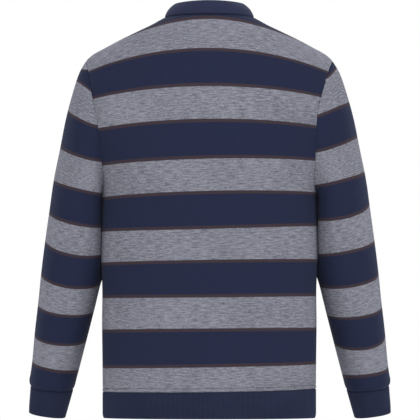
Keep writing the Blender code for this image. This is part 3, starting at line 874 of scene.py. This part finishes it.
SLEEVE_BACK_CREASES = {
    1: (
        # from x, from z, to x, to z, width, depth
        (0.222, -0.300, 0.262, -0.268, 0.0100, 0.0014),
        (0.218, -0.372, 0.272, -0.352, 0.0090, 0.0010),
        (0.226, -0.470, 0.288, -0.448, 0.0110, 0.0013),
        (0.250, -0.560, 0.300, -0.545, 0.0090, 0.0009),
        (0.262, -0.645, 0.304, -0.625, 0.0070, 0.0010),
    ),
    -1: (
        (-0.224, -0.312, -0.258, -0.272, 0.0100, 0.0015),
        (-0.222, -0.392, -0.280, -0.376, 0.0100, 0.0011),
        (-0.230, -0.492, -0.290, -0.474, 0.0100, 0.0012),
        (-0.248, -0.598, -0.302, -0.580, 0.0090, 0.0010),
        (-0.266, -0.640, -0.306, -0.632, 0.0065, 0.0009),
    ),
}
SLEEVE_FRONT_CREASES = {
    1: (
        (0.205, -0.290, 0.246, -0.226, 0.0110, 0.0016),
        (0.214, -0.352, 0.270, -0.318, 0.0110, 0.0015),
        (0.216, -0.420, 0.284, -0.404, 0.0100, 0.0016),
        (0.226, -0.492, 0.276, -0.478, 0.0090, 0.0012),
        (0.256, -0.612, 0.308, -0.600, 0.0080, 0.0011),
    ),
    -1: (
        (-0.204, -0.296, -0.250, -0.238, 0.0110, 0.0015),
        (-0.214, -0.362, -0.268, -0.334, 0.0100, 0.0014),
        (-0.218, -0.432, -0.286, -0.408, 0.0110, 0.0017),
        (-0.232, -0.520, -0.292, -0.508, 0.0090, 0.0011),
        (-0.252, -0.628, -0.306, -0.612, 0.0080, 0.0011),
    ),
}

# Places along the arm, counted in rows of SLEEVE_RINGS, close together beside the seams
BESIDE_ARMHOLE = (0.03, 0.06, 0.10, 0.15, 0.22, 0.30, 0.40)
ALONG_ARM = np.linspace(0.5, 12.6, 108)
BESIDE_CUFF = (12.68, 12.76, 12.84, 12.90, 12.95, 13.0)
SLEEVE_PLACES = np.concatenate([BESIDE_ARMHOLE, ALONG_ARM, BESIDE_CUFF])
SLEEVE_COLUMNS = 2 * ARMHOLE_ROWS
SHOULDER_COLUMN = ARMHOLE_ROWS

# How the sleeve leaves the armhole, and where it lies against the side of the body
SLEEVE_CLEARANCE = 0.0011
ARMHOLE_BEND_ENDS = 2.5
ARMHOLE_INSET_ENDS = 1.6
BODY_SLOPE_NEAR, BODY_SLOPE_FAR = 0.001, 0.006
PRESSED_WITHIN, PRESSED_BEHIND = 0.030, 0.012
PRESSED_FROM, PRESSED_TO = -0.300, -0.470
PRESSED_EASES_IN, PRESSED_EASES_OUT = 0.03, 0.04

# Shares of each stripe that end behind the body, and the height where the arm comes clear
STRIPE_END_HIDDEN, LAST_OF_STRIPE = 0.08, 0.97
BESIDE_BODY_TO, BESIDE_BODY_ENDS = -0.400, 0.06

SLEEVE_CREASES_FADE_WITHIN = 0.03
BLOUSE_SWELLS, BLOUSE_AT, BLOUSE_WIDTH = 0.0010, 0.011, 0.007
BLOUSE_TURNS_IN, BLOUSE_TURN_WIDTH = 0.0017, 0.0028


def ring_at(rings, at):
    """The rings' values at places along the arm, on smooth curves through the rows."""
    numbered = [(k,) + row for k, row in enumerate(rings)]
    return [curve(numbered, at, column + 1) for column in range(len(rings[0]))]


def tube_points(rings, at, angle, side):
    """Points round one arm, by place along it and angle from its outer edge, on the left."""
    outer_x, outer_z, inner_x, inner_z, middle, half, droop, falls = ring_at(rings, at)
    c, s = rounded(angle, ARMHOLE_ROUND)
    s = np.where((c < 0) & (s > 0), np.abs(s) ** falls, s)
    x = (outer_x + inner_x) / 2 + (outer_x - inner_x) / 2 * c
    z = (outer_z + inner_z) / 2 + (outer_z - inner_z) / 2 * c - droop * half * s
    x = x + curve(ARM_SHIFTS, z, 1 if side > 0 else 2)
    return np.stack([x, middle + half * s, z], axis=-1)


def press_on(x, clear, y, z):
    """Lets the front of the sleeve lie against the body for a while below the armhole."""
    gap = x - clear
    weight = smooth_step((PRESSED_FROM - z) / PRESSED_EASES_IN)
    weight = weight * smooth_step((z - PRESSED_TO) / PRESSED_EASES_OUT)
    weight = weight * smooth_step((PRESSED_BEHIND - y) / PRESSED_BEHIND)
    return clear + gap * (1 - weight * (1 - smooth_step(gap / PRESSED_WITHIN)))


def sleeve_points(at, angle, side):
    """A sleeve's outer surface, kept outside the body, on the left."""
    x, y, z = np.moveaxis(tube_points(SLEEVE_RINGS, at, angle, side), -1, 0)
    c, s = rounded(angle, ARMHOLE_ROUND)
    seam_z = (SHOULDER_Z + UNDERARM) / 2 + (SHOULDER_Z - UNDERARM) / 2 * c
    seam_x = side_x(seam_z, s < 0)
    top, bottom = side_x(SHOULDER_Z, False), side_x(UNDERARM, False)
    straight = (top + bottom) / 2 + (top - bottom) / 2 * c
    x = x + (seam_x - straight) * np.maximum(0.0, 1 - at / ARMHOLE_BEND_ENDS)
    inset = armhole_inset(seam_z, s <= 0, side) * (1 - smooth_step(at / ARMHOLE_INSET_ENDS))
    near, far = (body_y(seam_x - step, seam_z, False) for step in (BODY_SLOPE_NEAR, BODY_SLOPE_FAR))
    x, y = x - inset, y + inset * (far - near) / (BODY_SLOPE_FAR - BODY_SLOPE_NEAR)
    aside = np.maximum(np.abs(y), armhole_depth(z))
    clear = section_x(aside, z, y < 0) + SLEEVE_CLEARANCE * np.minimum(1.0, at)
    pressed = press_on(np.maximum(x, clear), clear, y, z)
    return np.stack([np.where(z > SHOULDER_Z, x, pressed), y, z], axis=-1)


def sleeve_line(x, back, side, outer_z, inner_z, sag):
    """Height of a stripe's edge at places across a sleeve. back is 1 behind, -1 in front."""
    outer_x = curve([(ring[1], ring[0]) for ring in SLEEVE_RINGS], outer_z)
    inner_x = curve([(ring[3], ring[2]) for ring in SLEEVE_RINGS], inner_z)
    at_armhole = inner_z > UNDERARM
    if at_armhole:
        inner_x = side_x(inner_z, False) - armhole_inset(inner_z, False, side)
    share = np.clip((outer_x - x) / (outer_x - inner_x), 0, 1)
    hidden, seam = STRIPE_END_HIDDEN, 1.0
    if not at_armhole:
        hidden = hidden * (1 - smooth_step((BESIDE_BODY_TO - inner_z) / BESIDE_BODY_ENDS))
        seam = 1 - smooth_step((share - LAST_OF_STRIPE) / (1 - LAST_OF_STRIPE))
    bulge = np.sqrt(1 - (2 * share * (1 - hidden) - 1) ** 2) * seam
    return outer_z + (inner_z - outer_z) * share - sag * bulge * back


def sleeve_run(grid, back, side):
    """How far down the pattern a point of a sleeve lies."""
    z = grid[:, :, 2]
    stripes = SLEEVE_STRIPES[side]
    lines = [sleeve_line(grid[:, :, 0], back, side, *row[1:]) for row in stripes]
    run = REPEAT * stripes[0][0] - (z - lines[0])
    for k in range(len(stripes) - 1):
        span = REPEAT * (stripes[k + 1][0] - stripes[k][0])
        share = (lines[k] - z) / (lines[k] - lines[k + 1])
        run = np.where(share > 0, REPEAT * stripes[k][0] + span * share, run)
    return np.where(z < lines[-1], REPEAT * stripes[-1][0] + lines[-1] - z, run)


def close_ring(values):
    """Repeats the first column after the last."""
    return np.concatenate([values, values[:, :1]], axis=1)


def blouse(distance, outer):
    """How the sleeve swells over the cuff and turns in to its seam, most at the outer edge."""
    swell = BLOUSE_SWELLS * hump(distance - BLOUSE_AT, BLOUSE_WIDTH)
    turn = BLOUSE_TURNS_IN * hump(distance, BLOUSE_TURN_WIDTH)
    return swell * (0.3 + 0.7 * outer) - turn


def make_sleeve(name, side, material):
    edges = [panel[: ARMHOLE_ROWS + 1, 0 if side < 0 else -1] for panel in (front_grid, back_grid)]
    armhole = np.concatenate([edges[0][::-1], edges[1][1:-1]])
    turns = np.linspace(-math.pi, math.pi, SLEEVE_COLUMNS, endpoint=False)[None, :]
    arm = sleeve_points(SLEEVE_PLACES[:, None], turns, side) * (side, 1, 1)
    grid = np.concatenate([armhole[None], arm])
    out = surface_normals(grid, wrap=True)
    c, s = rounded(turns, ARMHOLE_ROUND)
    around, down = run_along(close_ring(grid)), run_along(grid, axis=0)
    u = around - around[:, SHOULDER_COLUMN : SHOULDER_COLUMN + 1]
    v = sleeve_run(grid * (side, 1, 1), np.sign(s), side)
    places = grid[:, :, (0, 2)]
    dip = seam_dip(down)
    dip = np.maximum(dip, seam_dip(np.minimum(around, around[:, -1:] - around)[:, :-1]))
    away = smooth_step(np.minimum(down, down[-1:] - down) / SLEEVE_CREASES_FADE_WITHIN)
    dip = dip + away * smooth_step(s / 0.5) * trough(places, SLEEVE_BACK_CREASES[side])
    dip = dip + away * smooth_step(-s / 0.5) * trough(places, SLEEVE_FRONT_CREASES[side])
    dip = dip - blouse(down[-1:] - down, (1 + c) / 2)
    dip[0] = 0.0
    uv = np.stack([u, close_ring(v)], axis=2)
    grid = grid - out * dip[:, :, None]
    sleeve = make_cloth(name + "_jersey", grid, uv, out, material, wrap=True)
    thicken(sleeve)
    sew_in(sleeve, name)


make_sleeve("sleeve_left", 1, jersey)
make_sleeve("sleeve_right", -1, jersey)


# --- Hem band ----------------------------------------------------------------------------
# A tube of plain navy rib, folded double and sewn on all round. The fold at its lower
# edge draws in a little.

RIB = 0.0024
RIB_COLUMNS = 4
RIB_RIDGE = 0.00026
RIB_PITCH = 0.00225
HEM_HALF_WIDTH = 0.1895
HEM_ROUND = 2.25
HEM = -0.7136
HEM_RIBS = 440
HEM_STEPS = (0.0030, 0.0038, 0.0044, 0.0056, 0.0090, 0.0170, 0.0280, 0.0380, 0.0445, 0.0485)
HEM_DRAWS_IN, HEM_FOLD_HEIGHT = 0.0022, 0.009
TUCK = 0.0040
TUCK_DEPTH = 0.0030
TUCK_FULL_BEFORE, TUCK_EASES_OVER = 0.0006, 0.0018
RIB_RELIEF = 0.00014
OUTLINE_POINTS = 6001


def navy_rib(name, painted_groove_shade, yarn_dark, yarn_light):
    """Plain navy rib: dull ridges, with painted shade darkening the grooves between them."""
    sheen = {"sheen_weight": 0.12, "sheen_roughness": 0.4, "sheen_tint": NAP_TINT}
    finish = Finish(name, roughness=0.95, specular_ior_level=0.12, **sheen)
    u, v = finish.cloth_place()
    ridge = ((u / RIB_PITCH + 0.25) * (2 * math.pi)).sine()
    speckle = finish.noise(finish.vector(u * 900, v * 500, 5.0), 1.0, 2.0, 0.6)
    cloudy = finish.noise(finish.vector(u * 12, v * 40, 2.0), 1.0, 2.0)
    yarn = finish.mix((speckle * 0.7 + cloudy * 0.3).ramp(0.3, 0.7), yarn_dark, yarn_light)
    # The grooves get the darker colour: painted shade where the rib's hollows fall in shadow.
    finish.color(finish.mix(ridge.ramp(-1.0, 0.1), painted_groove_shade, yarn))
    across = (u / RIB_PITCH).fraction() - 0.5
    stitch = ((v / COURSE + across.distance() * 1.2) * (2 * math.pi)).sine()
    finish.relief(stitch * 0.5 + speckle * 0.6, RIB_RELIEF)
    return finish.material


def edge_profile(distance, radius):
    """Share of the half thickness at a distance from a rounded edge."""
    return np.sqrt(1 - (1 - np.clip(distance / radius, 0, 1)) ** 2)


def rounded_steps(length, radius, between):
    """Distances down a wall with rounded ends, close together at both."""
    bend = radius * (1 - np.cos(np.linspace(0, math.pi / 2, 4)))
    return np.concatenate([bend, between, length - bend[::-1]])


def rounded_wall(name, outer, steps, thickness, uv, ridge, material, wrap=True):
    """A closed wall inside a grid of outer points, round at its ends, and ribbed."""
    out = surface_normals(outer, wrap)
    radius = thickness / 2
    share = edge_profile(np.minimum(steps, steps[-1] - steps), radius)[:, None]
    if not wrap:
        across = run_along(outer)
        share = share * edge_profile(np.minimum(across, across[:, -1:] - across), radius)
    half = (share * (radius + ridge))[:, :, None] * out
    middle = outer - radius * out
    ring = np.concatenate([middle + half, (middle - half)[-2:0:-1]])
    uv = np.concatenate([uv, uv[-2:0:-1], uv[:1]])
    return make_cloth(name, ring, uv, None, material, wrap=wrap, closed=True)


def even_angles(outline, count, start=0.0):
    """Angles that part a closed outline into steps of equal length."""
    angles = start + np.linspace(0, 2 * math.pi, OUTLINE_POINTS)
    run = run_along(outline(angles)[None])[0]
    return np.interp(np.linspace(0, run[-1], count, endpoint=False), run, angles)


def tuck_in(outer, steps, seam, wrap=True):
    """Pushes the part of a band beyond its seam in behind the neighbouring cloth."""
    share = 1 - smooth_step((steps - seam + TUCK_FULL_BEFORE) / TUCK_EASES_OVER)
    return outer - surface_normals(outer, wrap) * (TUCK_DEPTH * share)[:, None, None]


def rib_ridges(columns, height=RIB_RIDGE):
    return height * np.cos(2 * math.pi * np.arange(columns) / RIB_COLUMNS)[None, :]


def rib_uv(columns, steps):
    """UV of a ribbed tube: one pitch for each rib, and metres down."""
    u = np.arange(columns) * (RIB_PITCH / RIB_COLUMNS)
    return np.stack(np.meshgrid(u, steps), axis=2)


def hem_points(z, angle, pull_in=0.0):
    c, s = rounded(angle, HEM_ROUND)
    reach = depth(z, s < 0) - pull_in
    return np.stack([(HEM_HALF_WIDTH - pull_in) * c, reach * s, z + 0 * c], axis=-1)


def make_hem_band(material):
    steps = rounded_steps(TUCK + SEAM_TO_BAND - HEM, RIB / 2, HEM_STEPS)
    columns = HEM_RIBS * RIB_COLUMNS
    seam = lambda angle: hem_points(np.full(angle.shape, SEAM_TO_BAND), angle)
    angles = even_angles(seam, columns)
    z = SEAM_TO_BAND + TUCK - steps[:, None]
    pull_in = HEM_DRAWS_IN * np.clip(1 - (z - HEM) / HEM_FOLD_HEIGHT, 0, 1) ** 2
    outer = hem_points(z + 0 * angles, angles[None, :], pull_in)
    fade = (1 - smooth_step(steps / steps[-1]))[:, None]
    outer[:, :, 2] += curve(SEAM_RISES, outer[:, :, 0]) * fade
    outer = tuck_in(outer, steps, TUCK)
    uv = rib_uv(columns + 1, steps)
    band = rounded_wall("hem_band_rib", outer, steps, RIB, uv, rib_ridges(columns), material)
    sew_in(band, "hem_band")


# The first colour is the painted shade of the rib's grooves.
rib = navy_rib("navy_rib", linear(28, 32, 50), linear(36, 41, 64), linear(49, 55, 82))
make_hem_band(rib)


# --- Cuffs -------------------------------------------------------------------------------
# A tube of the same rib, folded double and sewn to the end of each sleeve.

CUFF_RINGS = (
    # outer x, outer z, inner x, inner z, middle y, half depth, back droop, fall beside the body
    (0.3192, -0.6569, 0.2430, -0.6634, -0.0571, 0.0445, 0.16, 1.00),
    (0.3203, -0.6720, 0.2475, -0.6795, -0.0595, 0.0415, 0.16, 1.00),
    (0.3218, -0.6900, 0.2530, -0.6990, -0.0625, 0.0385, 0.14, 1.00),
    (0.3223, -0.7048, 0.2573, -0.7140, -0.0650, 0.0355, 0.11, 1.00),
)
CUFF_LENGTH = 0.0470
CUFF_RIBS = 116
CUFF_STEPS = (0.0030, 0.0038, 0.0044, 0.0056, 0.0090, 0.0160, 0.0240, 0.0320, 0.0400, 0.0460)


def make_cuff(name, side, material):
    steps = rounded_steps(TUCK + CUFF_LENGTH, RIB / 2, CUFF_STEPS)
    columns = CUFF_RIBS * RIB_COLUMNS
    seam = lambda angle: tube_points(CUFF_RINGS, np.zeros(angle.shape), angle, side)
    angles = even_angles(seam, columns, -math.pi)
    at = (len(CUFF_RINGS) - 1) * (steps - TUCK) / CUFF_LENGTH
    outer = tube_points(CUFF_RINGS, np.clip(at, 0, None)[:, None] + 0 * angles, angles[None], side)
    upward = unit(outer[0].mean(axis=0) - outer[-1].mean(axis=0))
    outer = outer + upward * np.clip(TUCK - steps, 0, None)[:, None, None]
    outer = tuck_in(outer, steps, TUCK) * (side, 1, 1)
    uv = rib_uv(columns + 1, steps)
    cuff = rounded_wall(name + "_rib", outer, steps, RIB, uv, rib_ridges(columns), material)
    sew_in(cuff, name)


make_cuff("cuff_left", 1, rib)
make_cuff("cuff_right", -1, rib)


# --- Collar ------------------------------------------------------------------------------
# A low stand collar of the rib, sewn round the neckline and leaning in towards the neck.
# It is open at the front, where the zip runs up to its top edge.

COLLAR_RISE_BACK, COLLAR_RISE_SIDE, COLLAR_RISE_FRONT = 0.0259, 0.0250, 0.0285
COLLAR_LEAN, COLLAR_SIDE_LEAN = 0.0110, 0.0150
COLLAR_ROLL = 0.0045
COLLAR_BOW = 0.0012
COLLAR_LIFT = 0.0005
COLLAR_TUCK = 0.0032
COLLAR_LENGTH = 0.0290
COLLAR_RIBS = 190
COLLAR_RIDGE = 0.00008
COLLAR_STEPS = (0.0024, 0.0030, 0.0038, 0.0050, 0.0080, 0.0130, 0.0180, 0.0230, 0.0275, 0.0300)
SLIT_FACES_FRONT = 0.012
NECKLINE_POINTS = 1500


def neckline(columns):
    """Points at equal steps from the left of the slit, round the back, to its right."""
    start = math.asin(SLIT_HALF_WIDTH / NECK_HALF_WIDTH)
    quarter = math.pi / 2
    left = NECK_HALF_WIDTH * np.sin(np.linspace(start, quarter, NECKLINE_POINTS))
    behind = NECK_HALF_WIDTH * np.sin(np.linspace(quarter, -quarter, 2 * NECKLINE_POINTS))[1:-1]
    x = np.concatenate([left, behind, -left[::-1]])
    front = np.concatenate([left > 0, behind > 1, left > 0])
    z = neck_z(x, front)
    line = np.stack([x, body_y(x, z, front), z], axis=1)
    run = run_along(line[None])[0]
    steps = np.linspace(0, run[-1], columns)
    return np.stack([np.interp(steps, run, line[:, axis]) for axis in range(3)], axis=1)


def collar_outward(seam):
    """Level unit vectors out through the seam. Beside the slit they point to the front."""
    beside = (np.abs(seam[..., 0]) - SLIT_HALF_WIDTH) / (SLIT_FACES_FRONT - SLIT_HALF_WIDTH)
    turn = np.where(seam[..., 1] < 0, smooth_step(beside), 1.0)
    return unit(np.stack([seam[..., 0] * turn, seam[..., 1], 0 * turn], axis=-1))


def collar_points(seam, share):
    """The collar's outer surface, from its seam at 0 to its top edge at 1."""
    around = np.arctan2(np.abs(seam[..., 0]), seam[..., 1])
    end = np.where(around < math.pi / 2, COLLAR_RISE_BACK, COLLAR_RISE_FRONT)
    rise = COLLAR_RISE_SIDE + (end - COLLAR_RISE_SIDE) * np.cos(around) ** 2
    most = COLLAR_SIDE_LEAN + (COLLAR_LEAN - COLLAR_SIDE_LEAN) * np.cos(around) ** 2
    lean = most * (0.75 * share + 0.25 * share**2) - COLLAR_BOW * np.sin(share * math.pi)
    lean = lean + COLLAR_ROLL * np.sin(around) ** 2 * np.maximum(share, 0) ** 4
    up = COLLAR_LIFT + rise * share
    return seam - collar_outward(seam) * lean[..., None] + np.stack([0 * up, 0 * up, up], axis=-1)


def make_collar(material):
    columns = COLLAR_RIBS * RIB_COLUMNS + 1
    steps = rounded_steps(COLLAR_TUCK + COLLAR_LENGTH, RIB / 2, COLLAR_STEPS)
    seam = neckline(columns)[None] + np.zeros((len(steps), 1, 1))
    share = (steps[:, None] - COLLAR_TUCK) / COLLAR_LENGTH + np.zeros((1, columns))
    outer = tuck_in(collar_points(seam, share), steps, COLLAR_TUCK, wrap=False)
    uv = rib_uv(columns, steps)
    ridges = rib_ridges(columns, COLLAR_RIDGE)
    collar = rounded_wall("collar_rib_painted_light", outer, steps, RIB, uv, ridges, material, False)
    sew_in(collar, "collar")


# A lighter copy of the same rib for the collar: painted light for the light it catches as it leans
# back and faces up. Its grooves get only a little painted shade.
collar_rib_painted_light = navy_rib("collar_rib_painted_light", linear(40, 44, 66), linear(42, 46, 70), linear(53, 58, 86))
make_collar(collar_rib_painted_light)


# --- Zip tapes and teeth -----------------------------------------------------------------
# Two navy woven tapes behind the edges of the slit and of the collar, with the row of a
# coil zip's teeth along the inner edge of each. The teeth meet below the slider.

TAPE = 0.0010
TAPE_INNER, TAPE_WIDTH = 0.0016, 0.0114
TAPE_EDGE = np.array((0.0, 0.0001, 0.0003, 0.0005))
TAPE_BODY_FROM = 0.0010
TAPE_DEPTH = 0.0030
TAPE_TAIL = 0.012
TAPE_TWILL, TAPE_RELIEF = 0.0008, 0.00008
SLIT_LENGTH = 0.1504
TEETH_DEPTH = 0.0022
TEETH_PITCH = 0.0013
TOOTH_ALONG, TOOTH_ACROSS, TOOTH_HEIGHT = 0.0009, 0.0030, 0.0014
TEETH_PARTED_BY, TEETH_CLOSED_BY = 0.0018, 0.0007

# Places along the zip, as zip_line takes them
TAPE_START = (0.02, 0.024, 0.03)
TEETH_START, TEETH_END = 0.05, 1.93
SLIDER_FROM, SLIDER_TO = 0.19, 0.44


def zip_line(x, at):
    """The outer cloth beside the zip: collar's top edge at 0, its seam at 1, slit's end at 2."""
    x, at = np.broadcast_arrays(x, at)
    top = neck_z(x, True)
    seam = np.stack([x, body_y(x, top, True), top], axis=-1)
    end = NECK_FRONT + (SEAM_TO_BAND - NECK_FRONT) * panel_rows()[SLIT_ROW]
    z = top + (end - top) * (at - 1)
    below = np.stack([x, body_y(x, z, True), z], axis=-1)
    return np.where((at < 1)[..., None], collar_points(seam, 1 - at), below)


def zip_inward(x, at):
    """Unit vectors from the outer cloth straight in, along the zip."""
    along = zip_line(x, at + 0.04) - zip_line(x, at - 0.04)
    across = zip_line(x + 0.001, at) - zip_line(x - 0.001, at)
    inward = unit(np.cross(along, across))
    return inward * np.sign(inward[..., 1:2])


def zip_webbing():
    """Navy tape with a fine twill."""
    finish = Finish("zip_webbing", roughness=0.8, specular_ior_level=0.25)
    x, _, z = finish.split(finish.object_place())
    twill = ((x + z) / TAPE_TWILL * (2 * math.pi)).sine()
    finish.color(finish.mix(twill.ramp(-0.8, 0.8), linear(30, 34, 52), linear(40, 45, 67)))
    finish.relief(twill, TAPE_RELIEF)
    return finish.material


def make_tape(name, side, material):
    end = 2 + TAPE_TAIL / SLIT_LENGTH
    beside_collar, beside_slit = np.linspace(0.06, 1.0, 24), np.linspace(1.02, end, 60)
    at = np.concatenate([TAPE_START, beside_collar, beside_slit])[:, None]
    body = np.linspace(TAPE_BODY_FROM, TAPE_WIDTH - TAPE_BODY_FROM, 12)
    x = TAPE_INNER + np.concatenate([TAPE_EDGE, body, TAPE_WIDTH - TAPE_EDGE[::-1]])[None, :]
    outer = zip_line(x, at) + TAPE_DEPTH * zip_inward(SLIT_HALF_WIDTH, at)
    steps = run_along(outer, axis=0)[:, 0]
    uv = np.stack([x + 0 * at, steps[:, None] + 0 * x], axis=2)
    outer = outer * (side, 1, 1)
    tape = rounded_wall(name + "_woven", outer, steps, TAPE, uv, 0.0, material, False)
    sew_in(tape, name)


def bead_run_tree():
    """Sets rounded beads at even steps along a path, each lying across its out direction."""
    tree = bpy.data.node_groups.new("bead_run", "GeometryNodeTree")
    sockets = tree.interface
    sockets.new_socket("Path", in_out="INPUT", socket_type="NodeSocketGeometry")
    for name in ("Spacing", "Along", "Across", "Height"):
        sockets.new_socket(name, in_out="INPUT", socket_type="NodeSocketFloat")
    sockets.new_socket("Material", in_out="INPUT", socket_type="NodeSocketMaterial")
    sockets.new_socket("Beads", in_out="OUTPUT", socket_type="NodeSocketGeometry")
    nodes = tree.nodes
    given = nodes.new("NodeGroupInput")
    path = nodes.new("GeometryNodeMeshToCurve")
    steps = nodes.new("GeometryNodeResampleCurve")
    steps.mode = "LENGTH"
    outward = nodes.new("GeometryNodeInputNamedAttribute")
    outward.data_type = "FLOAT_VECTOR"
    outward.inputs["Name"].default_value = "out"
    onward = nodes.new("GeometryNodeInputTangent")
    stand = nodes.new("FunctionNodeAlignRotationToVector")
    stand.axis = "Z"
    turn = nodes.new("FunctionNodeAlignRotationToVector")
    turn.axis = "X"
    turn.pivot_axis = "Z"
    size = nodes.new("ShaderNodeCombineXYZ")
    bead = nodes.new("GeometryNodeMeshUVSphere")
    bead.inputs["Segments"].default_value = 8
    bead.inputs["Rings"].default_value = 5
    bead.inputs["Radius"].default_value = 0.5
    place = nodes.new("GeometryNodeInstanceOnPoints")
    real = nodes.new("GeometryNodeRealizeInstances")
    smooth = nodes.new("GeometryNodeSetShadeSmooth")
    paint = nodes.new("GeometryNodeSetMaterial")
    result = nodes.new("NodeGroupOutput")
    join(
        tree,
        (given, "Path", path, "Mesh"),
        (path, "Curve", steps, "Curve"),
        (given, "Spacing", steps, "Length"),
        (outward, "Attribute", stand, "Vector"),
        (stand, "Rotation", turn, "Rotation"),
        (onward, "Tangent", turn, "Vector"),
        (given, "Along", size, "X"),
        (given, "Across", size, "Y"),
        (given, "Height", size, "Z"),
        (steps, "Curve", place, "Points"),
        (bead, "Mesh", place, "Instance"),
        (turn, "Rotation", place, "Rotation"),
        (size, "Vector", place, "Scale"),
        (place, "Instances", smooth, "Geometry"),
        (smooth, "Geometry", real, "Geometry"),
        (real, "Geometry", paint, "Geometry"),
        (given, "Material", paint, "Material"),
        (paint, "Geometry", result, "Beads"),
    )
    return tree


def make_beads(name, paths, slot, **sizes):
    """Beads along paths, each given as its points and their out directions."""
    points = np.concatenate([line for line, out in paths])
    outs = np.concatenate([out for line, out in paths])
    edges, first = [], 0
    for line, out in paths:
        edges += [(first + k, first + k + 1) for k in range(len(line) - 1)]
        first += len(line)
    mesh = bpy.data.meshes.new(name)
    mesh.from_pydata(points.tolist(), edges, [])
    kept = mesh.attributes.new("out", "FLOAT_VECTOR", "POINT")
    kept.data.foreach_set("vector", outs.reshape(-1).astype(np.float32))
    beads = add_object(name, mesh)
    run = beads.modifiers.new("bead_run", "NODES")
    run.node_group = bead_tree
    for socket in bead_tree.interface.items_tree:
        if socket.name in sizes:
            run[socket.identifier] = sizes[socket.name]
    seen = bpy.context.evaluated_depsgraph_get()
    made = bpy.data.meshes.new_from_object(beads.evaluated_get(seen), depsgraph=seen)
    beads.modifiers.clear()
    beads.data = made
    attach(beads, "garment")


def teeth_path(side, x, start, end):
    at = np.linspace(start, end, 200)
    inward = zip_inward(SLIT_HALF_WIDTH, at)
    line = zip_line(x, at) + TEETH_DEPTH * inward
    return line * (side, 1, 1), -inward * (side, 1, 1)


def make_teeth(material):
    starts = {1: SLIDER_TO, -1: SLIDER_TO + TEETH_PITCH / 2 / SLIT_LENGTH}
    closed = [teeth_path(side, TEETH_CLOSED_BY, starts[side], TEETH_END) for side in (1, -1)]
    parted = [teeth_path(side, TEETH_PARTED_BY, TEETH_START, SLIDER_FROM) for side in (1, -1)]
    sizes = {"Along": TOOTH_ALONG, "Across": TOOTH_ACROSS, "Height": TOOTH_HEIGHT}
    sizes.update(Spacing=TEETH_PITCH, Material=material)
    make_beads("zip_teeth", closed + parted, "zip_webbing", **sizes)


webbing = zip_webbing()
bead_tree = bead_run_tree()
make_tape("zip_tape_left", 1, webbing)
make_tape("zip_tape_right", -1, webbing)
make_teeth(webbing)


# --- Slider, pull tab and stop -----------------------------------------------------------
# Cast and stamped metal, dull nickel-grey. The tab hangs from the slider's bridge and
# swings on it. The stop is a clip over both tapes where the slit ends.

METAL_EDGE = 0.00022


def satin_metal():
    finish = Finish("zip_metal", metallic=1.0, base_color=linear(146, 144, 140))
    x, y, z = finish.split(finish.object_place())
    brushed = finish.noise(finish.vector(x * 1500, y * 1500, z * 250), 1.0, 3.0)
    finish.roughness(brushed * 0.20 + 0.36)
    return finish.material


def soften(node, body, material):
    """The node's own shape again with its edges rounded a little."""
    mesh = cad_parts[node].data.copy()
    mesh.name = node + "_metal"
    work = bmesh.new()
    work.from_mesh(mesh)
    bmesh.ops.remove_doubles(work, verts=work.verts, dist=1e-6)
    bmesh.ops.dissolve_limit(
        work, angle_limit=math.radians(1), verts=work.verts, edges=work.edges, delimit=set()
    )
    bmesh.ops.recalc_face_normals(work, faces=work.faces)
    work.to_mesh(mesh)
    work.free()
    mesh.materials.clear()
    mesh.materials.append(material)
    piece = add_object(node + "_metal", mesh)
    edge = piece.modifiers.new("edge", "BEVEL")
    edge.width = METAL_EDGE
    edge.segments = 2
    edge.limit_method = "ANGLE"
    edge.harden_normals = True
    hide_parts(node)
    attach(piece, body)


metal = satin_metal()
soften("zip_slider", "garment", metal)
soften("zip_tab", "pull_tab", metal)
soften("zip_stop", "garment", metal)


# --- Stitching ---------------------------------------------------------------------------
# Navy thread: a line all round above the hem seam, and a line round the slit that holds
# its folded edges to the zip's tapes.

THREAD = 0.0005
STITCH, STITCH_PITCH = 0.0024, 0.0030
SLIT_STITCH_ASIDE = 0.0030
HEM_THREAD_SUNK, SLIT_THREAD_SUNK = 0.0004, 0.0001


def stitch_thread():
    colour = linear(33, 37, 58)
    return Finish("stitching", roughness=0.85, specular_ior_level=0.2, base_color=colour).material


def hem_stitches():
    angle = np.linspace(0, 2 * math.pi, 1200)
    line = hem_points(np.full(angle.shape, SEAM_TO_BAND + HEM_STITCH), angle)
    out = unit(np.cross(np.gradient(line, axis=0), (0.0, 0.0, 1.0)))
    line[:, 2] += curve(SEAM_RISES, line[:, 0])
    return line - out * HEM_THREAD_SUNK, out


def slit_stitches():
    """Down the right of the slit, across its end and up its left, as three lines."""
    aside = SLIT_HALF_WIDTH + SLIT_STITCH_ASIDE
    at = np.linspace(1.01, 2.0, 120)
    below = 2 + SLIT_STITCH_ASIDE / SLIT_LENGTH
    down = np.append(at, below)
    x = np.linspace(-aside, aside, 12)
    lines = []
    for side in (-1, 1):
        inward = zip_inward(aside, down)
        lines.append((zip_line(aside, down) * (side, 1, 1), -inward * (side, 1, 1)))
    inward = zip_inward(x, np.full(x.shape, below))
    lines.append((zip_line(x, np.full(x.shape, below)), -inward))
    return [(line - out * SLIT_THREAD_SUNK, out) for line, out in lines]


stitch_sizes = {"Spacing": STITCH_PITCH, "Along": STITCH, "Across": THREAD, "Height": THREAD}
stitch_sizes["Material"] = stitch_thread()
make_beads("hem_stitches", [hem_stitches()], "striped_jersey", **stitch_sizes)
make_beads("slit_stitches", slit_stitches(), "striped_jersey", **stitch_sizes)
